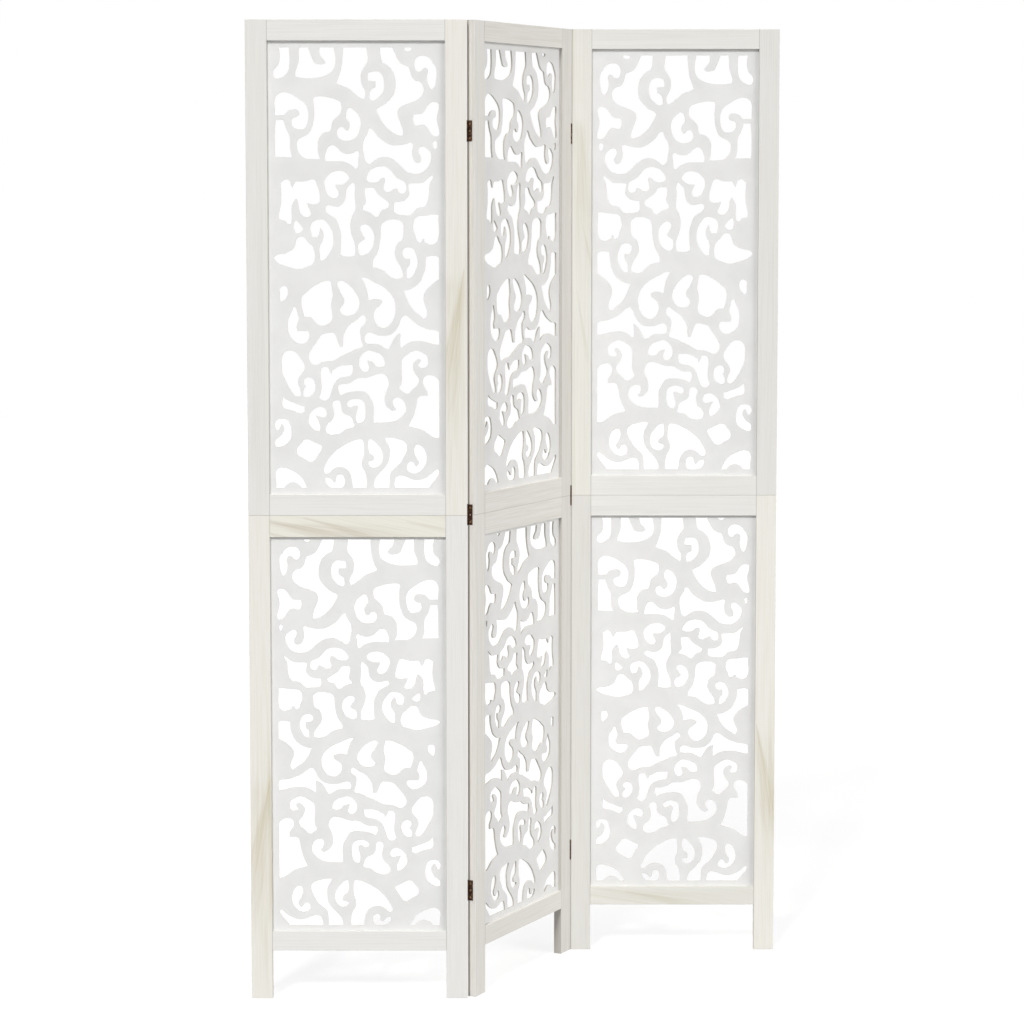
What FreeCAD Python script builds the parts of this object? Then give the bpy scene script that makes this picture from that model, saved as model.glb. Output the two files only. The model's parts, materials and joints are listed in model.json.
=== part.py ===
"""Three-leaf folding screen: stacked wooden frames with fretwork boards, standing in a Z fold.

Each leaf is drawn in its own frame: X across the leaf, Y from front to back, Z up from the floor,
with the origin under the middle of the leaf. The whole screen has its origin on the floor under
the middle leaf. Lengths are millimetres and angles are degrees.
"""
import os

import FreeCAD
import Part

# Driving dimensions: alias, value and what the value means.
DRIVING_SIZES = (
    ("leaf_width", 400, "one leaf, edge to edge"),
    ("leaf_thickness", 16, "stiles and rails, front to back"),
    ("leaf_angle", 63, "turn of the middle leaf from the two outer leaves"),
    ("upper_frame_height", 900, "upper frame of a leaf"),
    ("lower_frame_height", 900, "lower frame of a leaf with its legs"),
    ("leg_height", 90, "floor to the underside of the lowest rail"),
    ("stile_width", 39, "upright members across the face"),
    ("upper_rail_height", 38, "both rails of the upper frame"),
    ("lower_top_rail_height", 40, "top rail of the lower frame"),
    ("lower_bottom_rail_height", 36, "bottom rail of the lower frame"),
    ("eased_edge", 0.8, "rounding of stiles all over and of the long edges of rails"),
    ("groove_depth", 6, "panel groove in stiles and rails"),
    ("groove_clearance", 0.1, "groove wall to fret board, each side"),
    ("tenon_shoulder", 8, "stub tenon set back from the outer edge of its rail"),
    ("tenon_end_gap", 0.5, "end of a stub tenon to the groove floor"),
    ("fret_thickness", 3, "fret board"),
    ("fret_edge_gap", 1.0, "fret board edge to groove floor at the sides and the top"),
    ("fret_side_margin", 11.5, "pattern field to the stiles"),
    ("upper_fret_top_margin", 12, "pattern field to the upper frame's top rail"),
    ("upper_fret_bottom_margin", 12, "pattern field to the upper frame's bottom rail"),
    ("lower_fret_top_margin", 4, "pattern field to the lower frame's top rail"),
    ("lower_fret_bottom_margin", 9, "pattern field to the lower frame's bottom rail"),
    ("lower_fret_inset", 1, "edges of the lower board's openings, drawn in from the pattern's outlines"),
    ("dowel_radius", 3, "dowels between upper and lower stiles"),
    ("dowel_length", 40, "whole dowel, half in each stile"),
    ("dowel_clearance", 0.1, "dowel to its hole, all round"),
    ("dowel_end_gap", 0.5, "dowel end to the bottom of its hole"),
    ("hinge_height", 38, "hinge from end to end"),
    ("hinge_end_distance", 200, "middle of the top and bottom hinges to the leaf's end"),
    ("leaf_gap", 0.3, "between the edges of two leaves lying flat"),
    ("plate_thickness", 0.8, "hinge plate, let in flush with the edge of a stile"),
    ("plate_cover", 10.5, "hinge plate's reach from the leaf's face"),
    ("mortise_clearance", 0.2, "hinge plate to the sides of its mortise"),
    ("pin_offset", 0.3, "hinge pin's axis outside the face of a leaf"),
    ("knuckle_radius", 1.6, "outside of the hinge knuckles"),
    ("knuckle_gap", 0.2, "between neighbouring knuckles"),
    ("knuckle_relief", 0.3, "stiles and hinge plates to the knuckles"),
    ("pin_radius", 0.8, "hinge pin"),
    ("pin_clearance", 0.05, "hinge pin to its bore, all round"),
    ("pin_head_radius", 1.4, "tapered ends of the hinge pin"),
    ("pin_head_height", 0.8, "tapered ends of the hinge pin"),
    ("screw_spacing", 13, "between the screws of one plate"),
    ("screw_inset", 5.5, "screws to the leaf's face on the pin's side"),
    ("screw_head_radius", 2.0, "countersunk head"),
    ("screw_shank_radius", 1.0, "shank of a hinge screw"),
    ("screw_length", 12, "hinge screw with its head"),
    ("screw_point", 2, "tapered point of a hinge screw"),
    ("screw_clearance", 0.1, "screw to its hole, all round"),
    ("screw_slot_width", 0.5, "driver slot across the head"),
    ("screw_slot_depth", 0.4, "driver slot across the head"),
    ("cut_overrun", 1, "how far a cut runs past the face that it opens"),
)

KNUCKLE_COUNT = 5
OUTER_KNUCKLES = (1, 3)
INNER_KNUCKLES = (0, 2, 4)
THOUSANDTHS_IN_WHOLE = 1000
# How far a plate's web runs into the wall of its own knuckle, between the bore and the outside.
WEB_REACH_SHARE = 0.5

# Rows of the fret pattern and where each board has them, both in thousandths down the pattern
# field. The lower board's rows lie closer together at its middle and wider apart near its foot.
FRET_ROW_SHARES = {
    "upper": ((0, 0), (1000, 1000)),
    "lower": ((0, 0), (60, 60), (240, 250), (340, 349), (670, 646), (780, 757), (940, 938), (1000, 1000)),
}

# Fret openings, in thousandths of the pattern field, across from its left edge and down from its
# top edge. An opening is a ring of runs. A run starts at a corner, curves through its points and
# ends where the next run starts; a run of one point is a straight edge, and a ring of one run is
# a smooth closed curve.
FRET_OPENING_SHARES = {
    "top_bead_left": (
        ((32, 0),),
        ((95, 0), (98, 20), (96, 42), (86, 55), (64, 64), (38, 69), (12, 69), (-1, 62), (3, 50),
         (25, 41), (38, 28), (39, 15)),
    ),
    "top_bay_left": (
        ((157, 0),),
        ((208, 0), (222, 13), (236, 26), (250, 35), (275, 38), (300, 38)),
        ((316, 34), (300, 25), (283, 17), (278, 8)),
        ((278, 0),),
        ((364, 0), (374, 18), (374, 38), (360, 51), (330, 60), (290, 66), (230, 69), (165, 68)),
        ((136, 66), (132, 58), (142, 44), (153, 30), (154, 14)),
    ),
    "top_bay_middle": (
        ((422, 0),),
        ((562, 0), (568, 15), (568, 32), (548, 45), (531, 57), (528, 72), (538, 87), (553, 97),
         (556, 108)),
        ((546, 117), (512, 110), (480, 100), (450, 91), (415, 86)),
        ((380, 79), (396, 65), (411, 46), (419, 24)),
    ),
    "top_ring_eye": (
        ((576, 57), (605, 54), (638, 55), (659, 63), (669, 80), (662, 99), (638, 111), (605, 119)),
        ((583, 117), (582, 104), (594, 94), (608, 91)),
        ((618, 89),),
        ((618, 76),),
        ((573, 75), (571, 66)),
    ),
    "top_bay_right": (
        ((645, 0),),
        ((718, 0), (735, 13), (750, 25), (768, 35), (792, 40)),
        ((816, 43), (826, 53), (838, 67), (852, 73)),
        ((866, 75), (893, 80), (909, 93), (902, 105), (875, 116), (830, 124), (785, 130),
         (757, 138), (749, 148), (757, 160), (774, 176), (783, 190)),
        ((781, 198), (745, 196), (712, 189), (680, 178), (652, 164), (632, 150)),
        ((621, 140), (640, 134), (668, 129), (700, 118), (728, 105), (740, 86), (735, 67),
         (718, 51), (690, 40)),
        ((664, 35), (652, 25), (647, 12)),
    ),
    "top_bead_right": (
        ((793, 0),),
        ((836, 0), (822, 8), (803, 8)),
    ),
    "top_comma_right": (
        ((965, 36), (981, 44), (987, 58), (981, 78), (966, 92)),
        ((957, 94), (943, 88), (931, 75), (931, 62), (935, 53), (926, 46), (912, 46), (893, 53),
         (872, 54), (857, 47), (853, 36), (862, 25), (890, 19), (925, 20), (952, 27)),
    ),
    "right_notched_bay": (
        ((1000, 198), (997, 179), (988, 164), (990, 152), (999, 138), (996, 126), (975, 123),
         (948, 126), (925, 136), (905, 147), (880, 150)),
        ((850, 151), (845, 160), (849, 169), (858, 175), (880, 175), (905, 173), (928, 179),
         (950, 192), (966, 198)),
    ),
    "left_comma": (
        ((6, 150), (5, 128), (10, 113), (30, 104), (65, 101), (105, 105), (145, 114), (185, 125),
         (204, 136), (210, 153), (205, 168), (190, 180)),
        ((178, 184), (140, 183), (117, 178), (108, 168), (114, 159), (138, 156), (155, 148),
         (143, 140), (115, 139), (85, 143), (68, 150)),
        ((62, 152),),
        ((14, 152),),
    ),
    "left_scroll_bay": (
        ((239, 116), (248, 112), (285, 110), (330, 112), (375, 117), (403, 123), (411, 134),
         (402, 149), (376, 158), (356, 167), (350, 179), (338, 188), (308, 191), (285, 198),
         (270, 208), (266, 225), (269, 240)),
        ((281, 251),),
        ((205, 251), (175, 246), (152, 237), (139, 221), (143, 210), (170, 202), (205, 195),
         (227, 184), (241, 167), (246, 147), (244, 128)),
    ),
    "middle_hook": (
        ((466, 136), (490, 142), (516, 153), (528, 169), (519, 187), (497, 202), (462, 209),
         (422, 209), (393, 203), (382, 193), (390, 183), (410, 179)),
        ((427, 183), (446, 187), (460, 178), (454, 167), (438, 158), (438, 150), (446, 140)),
    ),
    "left_tall_slot": (
        ((12, 163),),
        ((58, 163), (66, 174), (79, 186), (94, 197), (98, 212), (98, 226), (105, 240)),
        ((109, 247),),
        ((8, 246), (6, 225), (7, 190)),
    ),
    "right_scroll_bay": (
        ((575, 183), (595, 184), (620, 196), (648, 206), (678, 214), (715, 220), (760, 220),
         (803, 217)),
        ((822, 214), (836, 215)),
        ((845, 219), (838, 234), (840, 246), (850, 255), (868, 260), (888, 258), (893, 250),
         (882, 240), (876, 231), (886, 224), (905, 223), (930, 229), (948, 236), (953, 249),
         (944, 262), (920, 275), (885, 283), (845, 284), (808, 280), (775, 269), (745, 258),
         (710, 249), (670, 246), (630, 249), (600, 257), (575, 262), (558, 257), (547, 244),
         (540, 226), (546, 208), (562, 198)),
    ),
    "middle_fin": (
        ((313, 256), (309, 249), (315, 236), (328, 225), (352, 220), (378, 224), (405, 234),
         (432, 239), (475, 238)),
        ((499, 233), (510, 234), (515, 246), (510, 259), (507, 270)),
        ((494, 273), (470, 265), (440, 259)),
        ((405, 256),),
    ),
    "middle_kidney": (
        ((360, 280), (385, 278), (425, 280), (448, 287), (455, 293), (444, 301), (422, 307)),
        ((408, 309),),
        ((373, 309), (375, 315), (386, 322), (390, 330), (378, 338), (355, 339), (332, 334),
         (312, 321), (305, 309), (309, 297), (325, 290), (340, 284)),
    ),
    "left_leaf_bay": (
        ((38, 305), (55, 300), (72, 297), (88, 299)),
        ((97, 303), (103, 311)),
        ((111, 316), (119, 308)),
        ((130, 302), (170, 302), (205, 300), (232, 297), (247, 299), (260, 309), (271, 322),
         (277, 337)),
        ((277, 347), (258, 352), (228, 353)),
        ((199, 350), (206, 359), (217, 368), (223, 374), (216, 380), (197, 382), (172, 379),
         (153, 368), (146, 355), (141, 346)),
        ((132, 340), (118, 347), (107, 356), (105, 375), (104, 390)),
        ((100, 397), (80, 397), (66, 391), (45, 389)),
        ((29, 387), (29, 374), (37, 360), (43, 340), (42, 322)),
    ),
    "left_seed": (
        ((120, 394), (131, 391), (147, 395), (165, 403)),
        ((177, 408), (168, 414), (150, 418), (133, 418), (120, 411), (117, 402)),
    ),
    "middle_tall_bay": (
        ((478, 304), (486, 308), (488, 330), (492, 350), (489, 368), (477, 376)),
        ((470, 384), (462, 394), (462, 410), (470, 424), (482, 436), (490, 448), (490, 462)),
        ((487, 470), (450, 472), (415, 470)),
        ((400, 467), (403, 450), (405, 430), (401, 413), (388, 398), (372, 386), (345, 379),
         (320, 372), (310, 365), (318, 357), (350, 357), (380, 359), (405, 356), (425, 347),
         (435, 333), (440, 320), (455, 312)),
    ),
    "left_arch_eye": (
        ((226, 397), (245, 391), (275, 388), (303, 389), (326, 398), (348, 412), (358, 428),
         (355, 447), (338, 461), (315, 474), (298, 479)),
        ((276, 479), (274, 463), (277, 448), (290, 438), (299, 427), (294, 415)),
        ((279, 406), (273, 416), (266, 424)),
        ((260, 427),),
        ((230, 427), (220, 416), (218, 405)),
    ),
    "left_whale": (
        ((-2, 474), (18, 468), (55, 466), (88, 461), (116, 453), (130, 438), (145, 429),
         (165, 427), (185, 430), (205, 440), (229, 448), (242, 461), (244, 478), (230, 489),
         (200, 494), (165, 499), (120, 499), (75, 494), (30, 488), (5, 481)),
    ),
    "right_double_lobe": (
        ((558, 297), (566, 287), (590, 275), (625, 269), (665, 268), (700, 274), (728, 287),
         (760, 297), (793, 304), (801, 313), (797, 325), (778, 329), (760, 327)),
        ((750, 319), (732, 318), (706, 324), (682, 325), (666, 320), (666, 311), (673, 300)),
        ((671, 294), (652, 294), (632, 301), (600, 304), (572, 302)),
    ),
    "right_heart": (
        ((551, 317), (580, 316), (606, 318), (622, 327), (650, 337), (680, 345), (696, 354),
         (684, 362), (657, 366), (641, 374)),
        ((629, 381), (612, 381), (590, 374), (560, 369)),
        ((538, 366), (543, 357), (554, 351), (553, 338), (549, 326)),
    ),
    "right_wing": (
        ((958, 288), (962, 294), (950, 302), (941, 318), (937, 335), (927, 349), (912, 358),
         (880, 361)),
        ((862, 363), (848, 370), (828, 377), (790, 378), (750, 376)),
        ((730, 372), (726, 360)),
        ((729, 349), (765, 348), (798, 343), (812, 337)),
        ((822, 328), (816, 319)),
        ((814, 308), (860, 306), (905, 304), (930, 297)),
    ),
    "right_seed": (
        ((964, 219), (968, 212), (978, 210), (988, 213), (990, 220), (985, 226), (977, 228),
         (968, 225)),
    ),
    "middle_thorned_oval": (
        ((523, 404), (535, 400), (555, 399), (578, 404), (598, 414), (606, 429), (600, 445),
         (584, 458), (558, 466), (530, 469)),
        ((512, 463), (507, 452), (516, 441), (536, 436)),
        ((550, 431), (540, 424), (526, 415)),
    ),
    "right_tall_bay": (
        ((648, 404), (664, 394), (695, 389), (735, 388), (765, 391), (784, 400), (783, 412),
         (781, 426), (771, 435), (750, 441), (735, 453), (730, 465), (740, 479), (762, 492),
         (776, 504)),
        ((779, 518), (755, 522), (722, 521), (690, 513), (664, 504), (635, 499)),
        ((600, 497), (596, 489), (604, 477), (622, 466), (637, 447), (645, 428), (646, 414)),
    ),
    "right_nubbed_bay": (
        ((999, 378), (999, 410), (995, 430), (980, 441), (955, 445), (930, 442)),
        ((912, 439),),
        ((911, 432),),
        ((898, 432),),
        ((893, 438), (880, 440), (865, 435), (857, 424), (846, 414), (845, 398), (852, 388),
         (868, 382), (910, 380), (955, 377)),
    ),
    "right_kidney": (
        ((777, 461), (788, 454), (815, 451), (840, 454), (857, 465), (868, 478), (867, 492),
         (852, 507), (830, 519)),
        ((804, 521), (803, 508), (809, 497), (819, 493), (824, 484)),
        ((824, 477),),
        ((797, 477), (784, 472)),
    ),
    "right_swoop": (
        ((922, 473), (945, 471), (980, 471)),
        ((999, 475),),
        ((999, 523), (970, 531), (935, 542), (910, 556), (904, 571), (916, 585), (926, 598),
         (921, 609)),
        ((905, 614), (878, 604), (845, 594), (818, 579), (800, 564), (790, 554)),
        ((783, 549), (820, 547), (858, 539), (887, 528), (903, 514), (916, 499), (919, 484)),
    ),
    "left_bead": (
        ((30, 550), (36, 542), (50, 539), (68, 540), (78, 547), (78, 558), (68, 566), (55, 571),
         (40, 574), (31, 567)),
    ),
    "left_shell": (
        ((342, 529), (347, 545), (351, 562), (343, 575), (342, 590), (349, 607), (344, 617),
         (320, 625), (288, 629), (260, 626), (238, 617), (218, 610), (196, 609)),
        ((179, 608), (173, 601), (164, 588), (161, 574), (168, 562), (190, 554), (220, 544),
         (250, 537), (285, 530), (318, 527)),
    ),
    "middle_ear": (
        ((387, 529), (405, 527), (435, 532), (465, 541), (492, 554), (511, 568), (514, 580),
         (503, 593), (478, 603), (440, 606), (408, 602), (397, 592), (410, 584), (421, 577),
         (419, 565), (404, 557), (392, 547)),
    ),
    "left_hook": (
        ((110, 587), (124, 587), (133, 595), (142, 608), (141, 619), (131, 627), (131, 635)),
        ((138, 641),),
        ((198, 641), (209, 648), (203, 659), (182, 668), (150, 670), (122, 665), (98, 657),
         (82, 646), (78, 630), (82, 613), (97, 601)),
    ),
    "middle_thorned_bay": (
        ((350, 645), (320, 646), (285, 650), (263, 660), (238, 674), (214, 687), (204, 699),
         (212, 711), (228, 717), (252, 718), (280, 713), (315, 710), (350, 709), (385, 702),
         (425, 694), (465, 687), (500, 681), (523, 679)),
        ((535, 673), (524, 660), (519, 645), (522, 633), (540, 627), (552, 620), (552, 611),
         (537, 605), (516, 610), (485, 619), (455, 627), (432, 639), (418, 650), (414, 664)),
        ((412, 677), (397, 677), (384, 668), (373, 655), (363, 648)),
    ),
    "right_tongued_oval": (
        ((527, 521), (550, 520), (580, 525), (625, 534), (660, 541), (692, 551), (718, 564),
         (733, 580), (734, 596), (722, 614), (695, 628), (660, 634), (630, 630), (609, 619),
         (601, 605), (611, 593), (640, 583)),
        ((655, 573), (635, 569), (605, 568), (585, 570)),
        ((570, 571), (566, 558), (555, 541), (540, 529)),
    ),
    "right_thorned_bay": (
        ((788, 606), (770, 613), (757, 626), (733, 641), (700, 650), (655, 652), (615, 650),
         (585, 645), (558, 647), (546, 656), (551, 667)),
        ((562, 670), (600, 670), (635, 672), (668, 680)),
        ((692, 682), (705, 673), (725, 658), (748, 649)),
        ((765, 646), (762, 662), (763, 674)),
        ((767, 680), (790, 673), (825, 666), (870, 664), (920, 666), (965, 671)),
        ((999, 672),),
        ((999, 645), (980, 640), (940, 638), (905, 633), (865, 626), (830, 615), (808, 608)),
    ),
    "middle_curled_oval": (
        ((516, 702), (535, 693), (565, 686), (600, 688), (640, 694), (662, 704), (668, 714)),
        ((666, 721), (640, 723), (614, 721), (598, 713), (580, 710)),
        ((561, 708), (568, 718), (571, 726), (560, 733), (535, 733), (516, 726), (510, 714)),
    ),
    "right_hook": (
        ((913, 694), (928, 701), (931, 710), (922, 722), (897, 725), (877, 723)),
        ((874, 717), (882, 713)),
        ((888, 708), (876, 705), (856, 709), (840, 718), (842, 729), (858, 741), (876, 752),
         (868, 763), (838, 774), (818, 782)),
        ((800, 784), (775, 779), (762, 774)),
        ((756, 770), (770, 759), (772, 742), (770, 720), (777, 705), (803, 696), (830, 689),
         (865, 686), (893, 690)),
    ),
    "right_flag": (
        ((940, 742), (918, 744), (904, 750), (902, 762), (916, 773)),
        ((929, 780),),
        ((929, 789),),
        ((887, 789), (869, 795), (861, 808), (853, 822), (842, 836), (824, 850)),
        ((814, 858), (850, 862), (895, 867), (940, 878), (975, 885)),
        ((999, 884),),
        ((999, 758), (985, 748), (962, 743)),
    ),
    "left_bulb": (
        ((95, 686), (125, 690), (152, 702), (173, 714), (179, 726), (166, 736), (147, 745),
         (136, 757), (143, 767), (153, 777)),
        ((152, 789), (122, 789), (100, 780), (78, 766), (58, 751), (43, 737), (39, 718),
         (43, 699), (62, 689)),
    ),
    "left_nubbed_oval": (
        ((174, 757), (182, 750), (203, 747), (226, 750), (241, 759), (243, 771), (232, 783),
         (210, 790), (185, 792)),
        ((171, 788), (170, 779), (177, 772)),
        ((190, 768), (178, 764)),
    ),
    "middle_thorned_arm": (
        ((277, 732), (286, 725), (303, 723)),
        ((322, 724), (330, 732)),
        ((341, 740), (352, 730)),
        ((366, 728), (395, 721), (430, 719)),
        ((470, 719), (473, 730), (462, 741), (425, 745), (390, 749), (362, 759), (346, 773),
         (334, 788), (317, 798), (295, 800)),
        ((267, 791), (279, 779), (281, 762), (277, 747)),
    ),
    "middle_great_hook": (
        ((384, 766), (395, 763), (430, 762), (468, 757), (505, 749), (555, 748), (595, 743),
         (630, 739), (665, 740), (688, 752), (691, 765), (677, 778), (667, 791), (668, 806),
         (690, 818), (717, 823)),
        ((735, 819), (720, 812), (716, 800), (728, 795), (755, 794), (780, 800), (796, 813),
         (792, 826), (768, 837), (735, 845), (690, 849), (640, 850)),
        ((601, 850), (599, 830), (597, 808), (578, 794), (555, 782), (520, 778), (475, 779),
         (435, 782)),
        ((400, 788), (386, 780), (382, 772)),
    ),
    "middle_arch_eye": (
        ((436, 810), (440, 803), (462, 798), (490, 796), (520, 798), (542, 805), (549, 818),
         (548, 834), (536, 846), (512, 851)),
        ((497, 850), (490, 839), (492, 830), (500, 821)),
        ((503, 813), (480, 812), (460, 815)),
    ),
    "left_slanted_slot": (
        ((47, 791), (62, 796), (90, 802), (125, 807), (155, 811)),
        ((177, 813),),
        ((176, 825), (150, 829), (125, 826), (90, 821), (55, 818)),
        ((42, 813), (40, 803)),
    ),
    "middle_boot": (
        ((372, 800), (390, 801), (400, 810), (404, 822), (420, 830), (445, 834), (466, 841),
         (473, 849)),
        ((482, 857), (466, 862), (435, 864), (405, 872), (370, 877), (330, 877)),
        ((309, 872), (307, 862), (320, 853), (345, 845), (357, 831), (352, 818), (347, 809),
         (356, 802)),
    ),
    "left_tongued_eye": (
        ((205, 838), (212, 829), (232, 821), (260, 815), (292, 816), (311, 824), (310, 834),
         (297, 838), (275, 837)),
        ((246, 835), (256, 842), (268, 853), (272, 863)),
        ((266, 869), (245, 868), (220, 861), (204, 852)),
    ),
    "left_curl": (
        ((-1, 851), (12, 844), (40, 842), (68, 844), (88, 854), (96, 872), (88, 889), (62, 899),
         (30, 905), (4, 905)),
        ((-3, 897), (3, 889), (26, 883), (46, 873), (53, 864), (45, 856)),
        ((33, 853), (25, 862), (11, 867), (-2, 861)),
    ),
    "left_diamond": (
        ((176, 890), (205, 890), (232, 895), (262, 900), (282, 905), (276, 914), (257, 925),
         (237, 936), (213, 940), (190, 937), (160, 930), (135, 924), (129, 914), (141, 904),
         (158, 897)),
    ),
    "bottom_bay_middle": (
        ((530, 889), (480, 891), (440, 898), (400, 906), (360, 918), (328, 931), (305, 946),
         (293, 957)),
        ((297, 966), (322, 966), (342, 959), (370, 953), (410, 953), (440, 960), (458, 972),
         (466, 987)),
        ((473, 1000),),
        ((553, 1000), (553, 975), (543, 962), (527, 951), (526, 938), (538, 924), (540, 912),
         (538, 898)),
    ),
    "bottom_scroll_eye": (
        ((302, 977), (320, 977), (338, 980), (348, 985)),
        ((358, 988), (368, 982), (374, 972), (395, 969), (415, 975), (421, 987), (408, 998),
         (370, 1000), (330, 998), (308, 990)),
    ),
    "bottom_bay_left": (
        ((0, 1000), (-1, 980), (2, 962), (20, 955), (50, 954), (90, 959), (130, 967), (160, 978),
         (180, 991)),
        ((189, 1000),),
        ((157, 1000), (137, 992), (105, 987), (75, 990)),
        ((48, 1000),),
    ),
    "bottom_ring_eye": (
        ((568, 889), (590, 890), (618, 899), (643, 911), (655, 926), (648, 941), (620, 952),
         (588, 953), (568, 947), (567, 940), (580, 938)),
        ((601, 934), (594, 926), (575, 921)),
        ((567, 915), (563, 900)),
    ),
    "bottom_bay_right": (
        ((667, 886), (700, 885), (745, 888), (785, 894)),
        ((801, 902), (798, 917), (780, 930), (760, 943), (728, 954), (705, 963), (696, 978)),
        ((692, 1000),),
        ((602, 1000), (604, 983), (628, 969), (660, 956), (685, 943), (696, 926), (693, 906),
         (678, 896)),
    ),
    "bottom_comma_eye": (
        ((858, 902), (847, 909), (848, 921), (860, 931)),
        ((869, 937), (872, 946), (858, 951), (842, 943), (822, 940), (803, 948), (804, 959),
         (830, 966), (862, 966), (895, 957), (918, 943), (921, 928), (908, 912), (885, 903)),
    ),
    "bottom_wave_right": (
        ((985, 957), (998, 963), (985, 975), (960, 987), (942, 996)),
        ((935, 1000),),
        ((725, 1000), (727, 985), (742, 974), (770, 972), (805, 976), (850, 982), (890, 981),
         (930, 974), (963, 964)),
    ),
}

AXIS_X = FreeCAD.Vector(1, 0, 0)
AXIS_Y = FreeCAD.Vector(0, 1, 0)
AXIS_Z = FreeCAD.Vector(0, 0, 1)
HALF_TURN = 180

doc = FreeCAD.newDocument("folding_screen")
sheet = doc.addObject("Spreadsheet::Sheet", "Sizes")
for row, (alias, value, meaning) in enumerate(DRIVING_SIZES, 1):
    sheet.set("A%d" % row, str(value))
    sheet.setAlias("A%d" % row, alias)
    sheet.set("B%d" % row, meaning)
doc.recompute()

sub_parts = []


def size(alias):
    """Read one driving dimension."""
    return float(sheet.get(alias))


def bound(formula):
    """Write a formula of aliases as one that reads the sheet."""
    words = []
    for word in formula.split():
        words.append("Sizes." + word if word[0].isalpha() else word)
    return " ".join(words)


def bind(feature, **formulas):
    """Bind properties of a feature to formulas of aliases."""
    for prop, formula in formulas.items():
        feature.setExpression(prop, bound(formula))


def bind_place(feature, corner):
    """Bind the place of a feature in its leaf or hinge."""
    for axis, formula in zip("xyz", corner):
        feature.setExpression("Placement.Base." + axis, bound(formula))


def new_body(label, placement):
    """Start a sub-part."""
    body = doc.addObject("PartDesign::Body", label)
    body.Label = label
    body.Placement = placement
    sub_parts.append(body)
    return body


def add_box(body, name, corner, extents, cut=False):
    """Add or cut a block, from its lowest corner and its three sides."""
    box = body.newObject("PartDesign::SubtractiveBox" if cut else "PartDesign::AdditiveBox", name)
    bind_place(box, corner)
    bind(box, Length=extents[0], Width=extents[1], Height=extents[2])
    doc.recompute()
    return box


def add_cylinder(body, name, foot, radius, height, axis=AXIS_Z, cut=False):
    """Add or cut a cylinder that rises from its foot along an axis."""
    kind = "PartDesign::SubtractiveCylinder" if cut else "PartDesign::AdditiveCylinder"
    cylinder = body.newObject(kind, name)
    cylinder.Placement = FreeCAD.Placement(FreeCAD.Vector(), FreeCAD.Rotation(AXIS_Z, axis))
    bind_place(cylinder, foot)
    bind(cylinder, Radius=radius, Height=height)
    doc.recompute()
    return cylinder


def ease_edges(body, blank, axis=None):
    """Round the edges of a block: all of them, or the four that run along an axis."""
    rounded = []
    for number, edge in enumerate(blank.Shape.Edges, 1):
        along = edge.Curve.Direction
        if axis is None or abs(along.dot(axis)) > along.cross(axis).Length:
            rounded.append("Edge%d" % number)
    eased = body.newObject("PartDesign::Fillet", "EasedEdges")
    eased.Base = (blank, rounded)
    bind(eased, Radius="eased_edge")
    doc.recompute()


# Formulas that several pieces share.
HALF_LEAF = "leaf_width / 2"
HALF_DEPTH = "leaf_thickness / 2"
OPENING_WIDTH = "( leaf_width - 2 * stile_width )"
GROOVE_WIDTH = "( fret_thickness + 2 * groove_clearance )"
GROOVE_FRONT = "0 - %s / 2" % GROOVE_WIDTH
LEAF_HEIGHT = "( lower_frame_height + upper_frame_height )"


class FrameLevels:
    """Heights of one frame of a leaf, as formulas: its ends, its opening and its rails."""

    def __init__(self, bottom, height, bottom_rail, top_rail, rail_foot, top_margin, bottom_margin):
        self.bottom = bottom
        self.height = height
        self.bottom_rail = bottom_rail
        self.top_rail = top_rail
        self.rail_foot = rail_foot
        self.top = "( %s + %s )" % (bottom, height)
        self.opening_bottom = "( %s + %s )" % (rail_foot, bottom_rail)
        self.opening_top = "( %s - %s )" % (self.top, top_rail)
        self.top_margin = top_margin
        self.bottom_margin = bottom_margin


LOWER = FrameLevels(
    "0", "lower_frame_height", "lower_bottom_rail_height", "lower_top_rail_height", "leg_height",
    "lower_fret_top_margin", "lower_fret_bottom_margin",
)
UPPER = FrameLevels(
    "lower_frame_height", "upper_frame_height", "upper_rail_height", "upper_rail_height",
    "lower_frame_height", "upper_fret_top_margin", "upper_fret_bottom_margin",
)
FRAMES = {"upper": UPPER, "lower": LOWER}
# The hinge that a frame carries alone; the middle hinge joins both frames.
HINGE_OF_FRAME = {"upper": "top", "lower": "bottom"}


class Leaf:
    """One leaf: its name, its place, and which of its edges carry hinges.

    A leaf that is turned half round shows its own back to the front, so its left and right change.
    """

    def __init__(self, name, placement, hinge_sides, turned):
        self.name = name
        self.placement = placement
        self.hinge_sides = hinge_sides
        self.turned = turned

    def side_word(self, side):
        """Name a side of the leaf as it is seen from the front of the screen."""
        seen = -side if self.turned else side
        return "left" if seen < 0 else "right"


def hinge_heights():
    """Middle heights of the three hinges of a joint, by name, as formulas."""
    return {
        "top": "( %s - hinge_end_distance )" % LEAF_HEIGHT,
        "middle": "lower_frame_height",
        "bottom": "hinge_end_distance",
    }


def hinge_screws():
    """Each hinge screw: its hinge, its step from the middle and the frame that it bites into."""
    screws = []
    for hinge in hinge_heights():
        for step in (-1, 0, 1):
            if hinge == "middle" and step == 0:
                continue
            in_upper = hinge == "top" or (hinge == "middle" and step > 0)
            screws.append((hinge, step, "upper" if in_upper else "lower"))
    return screws


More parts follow.
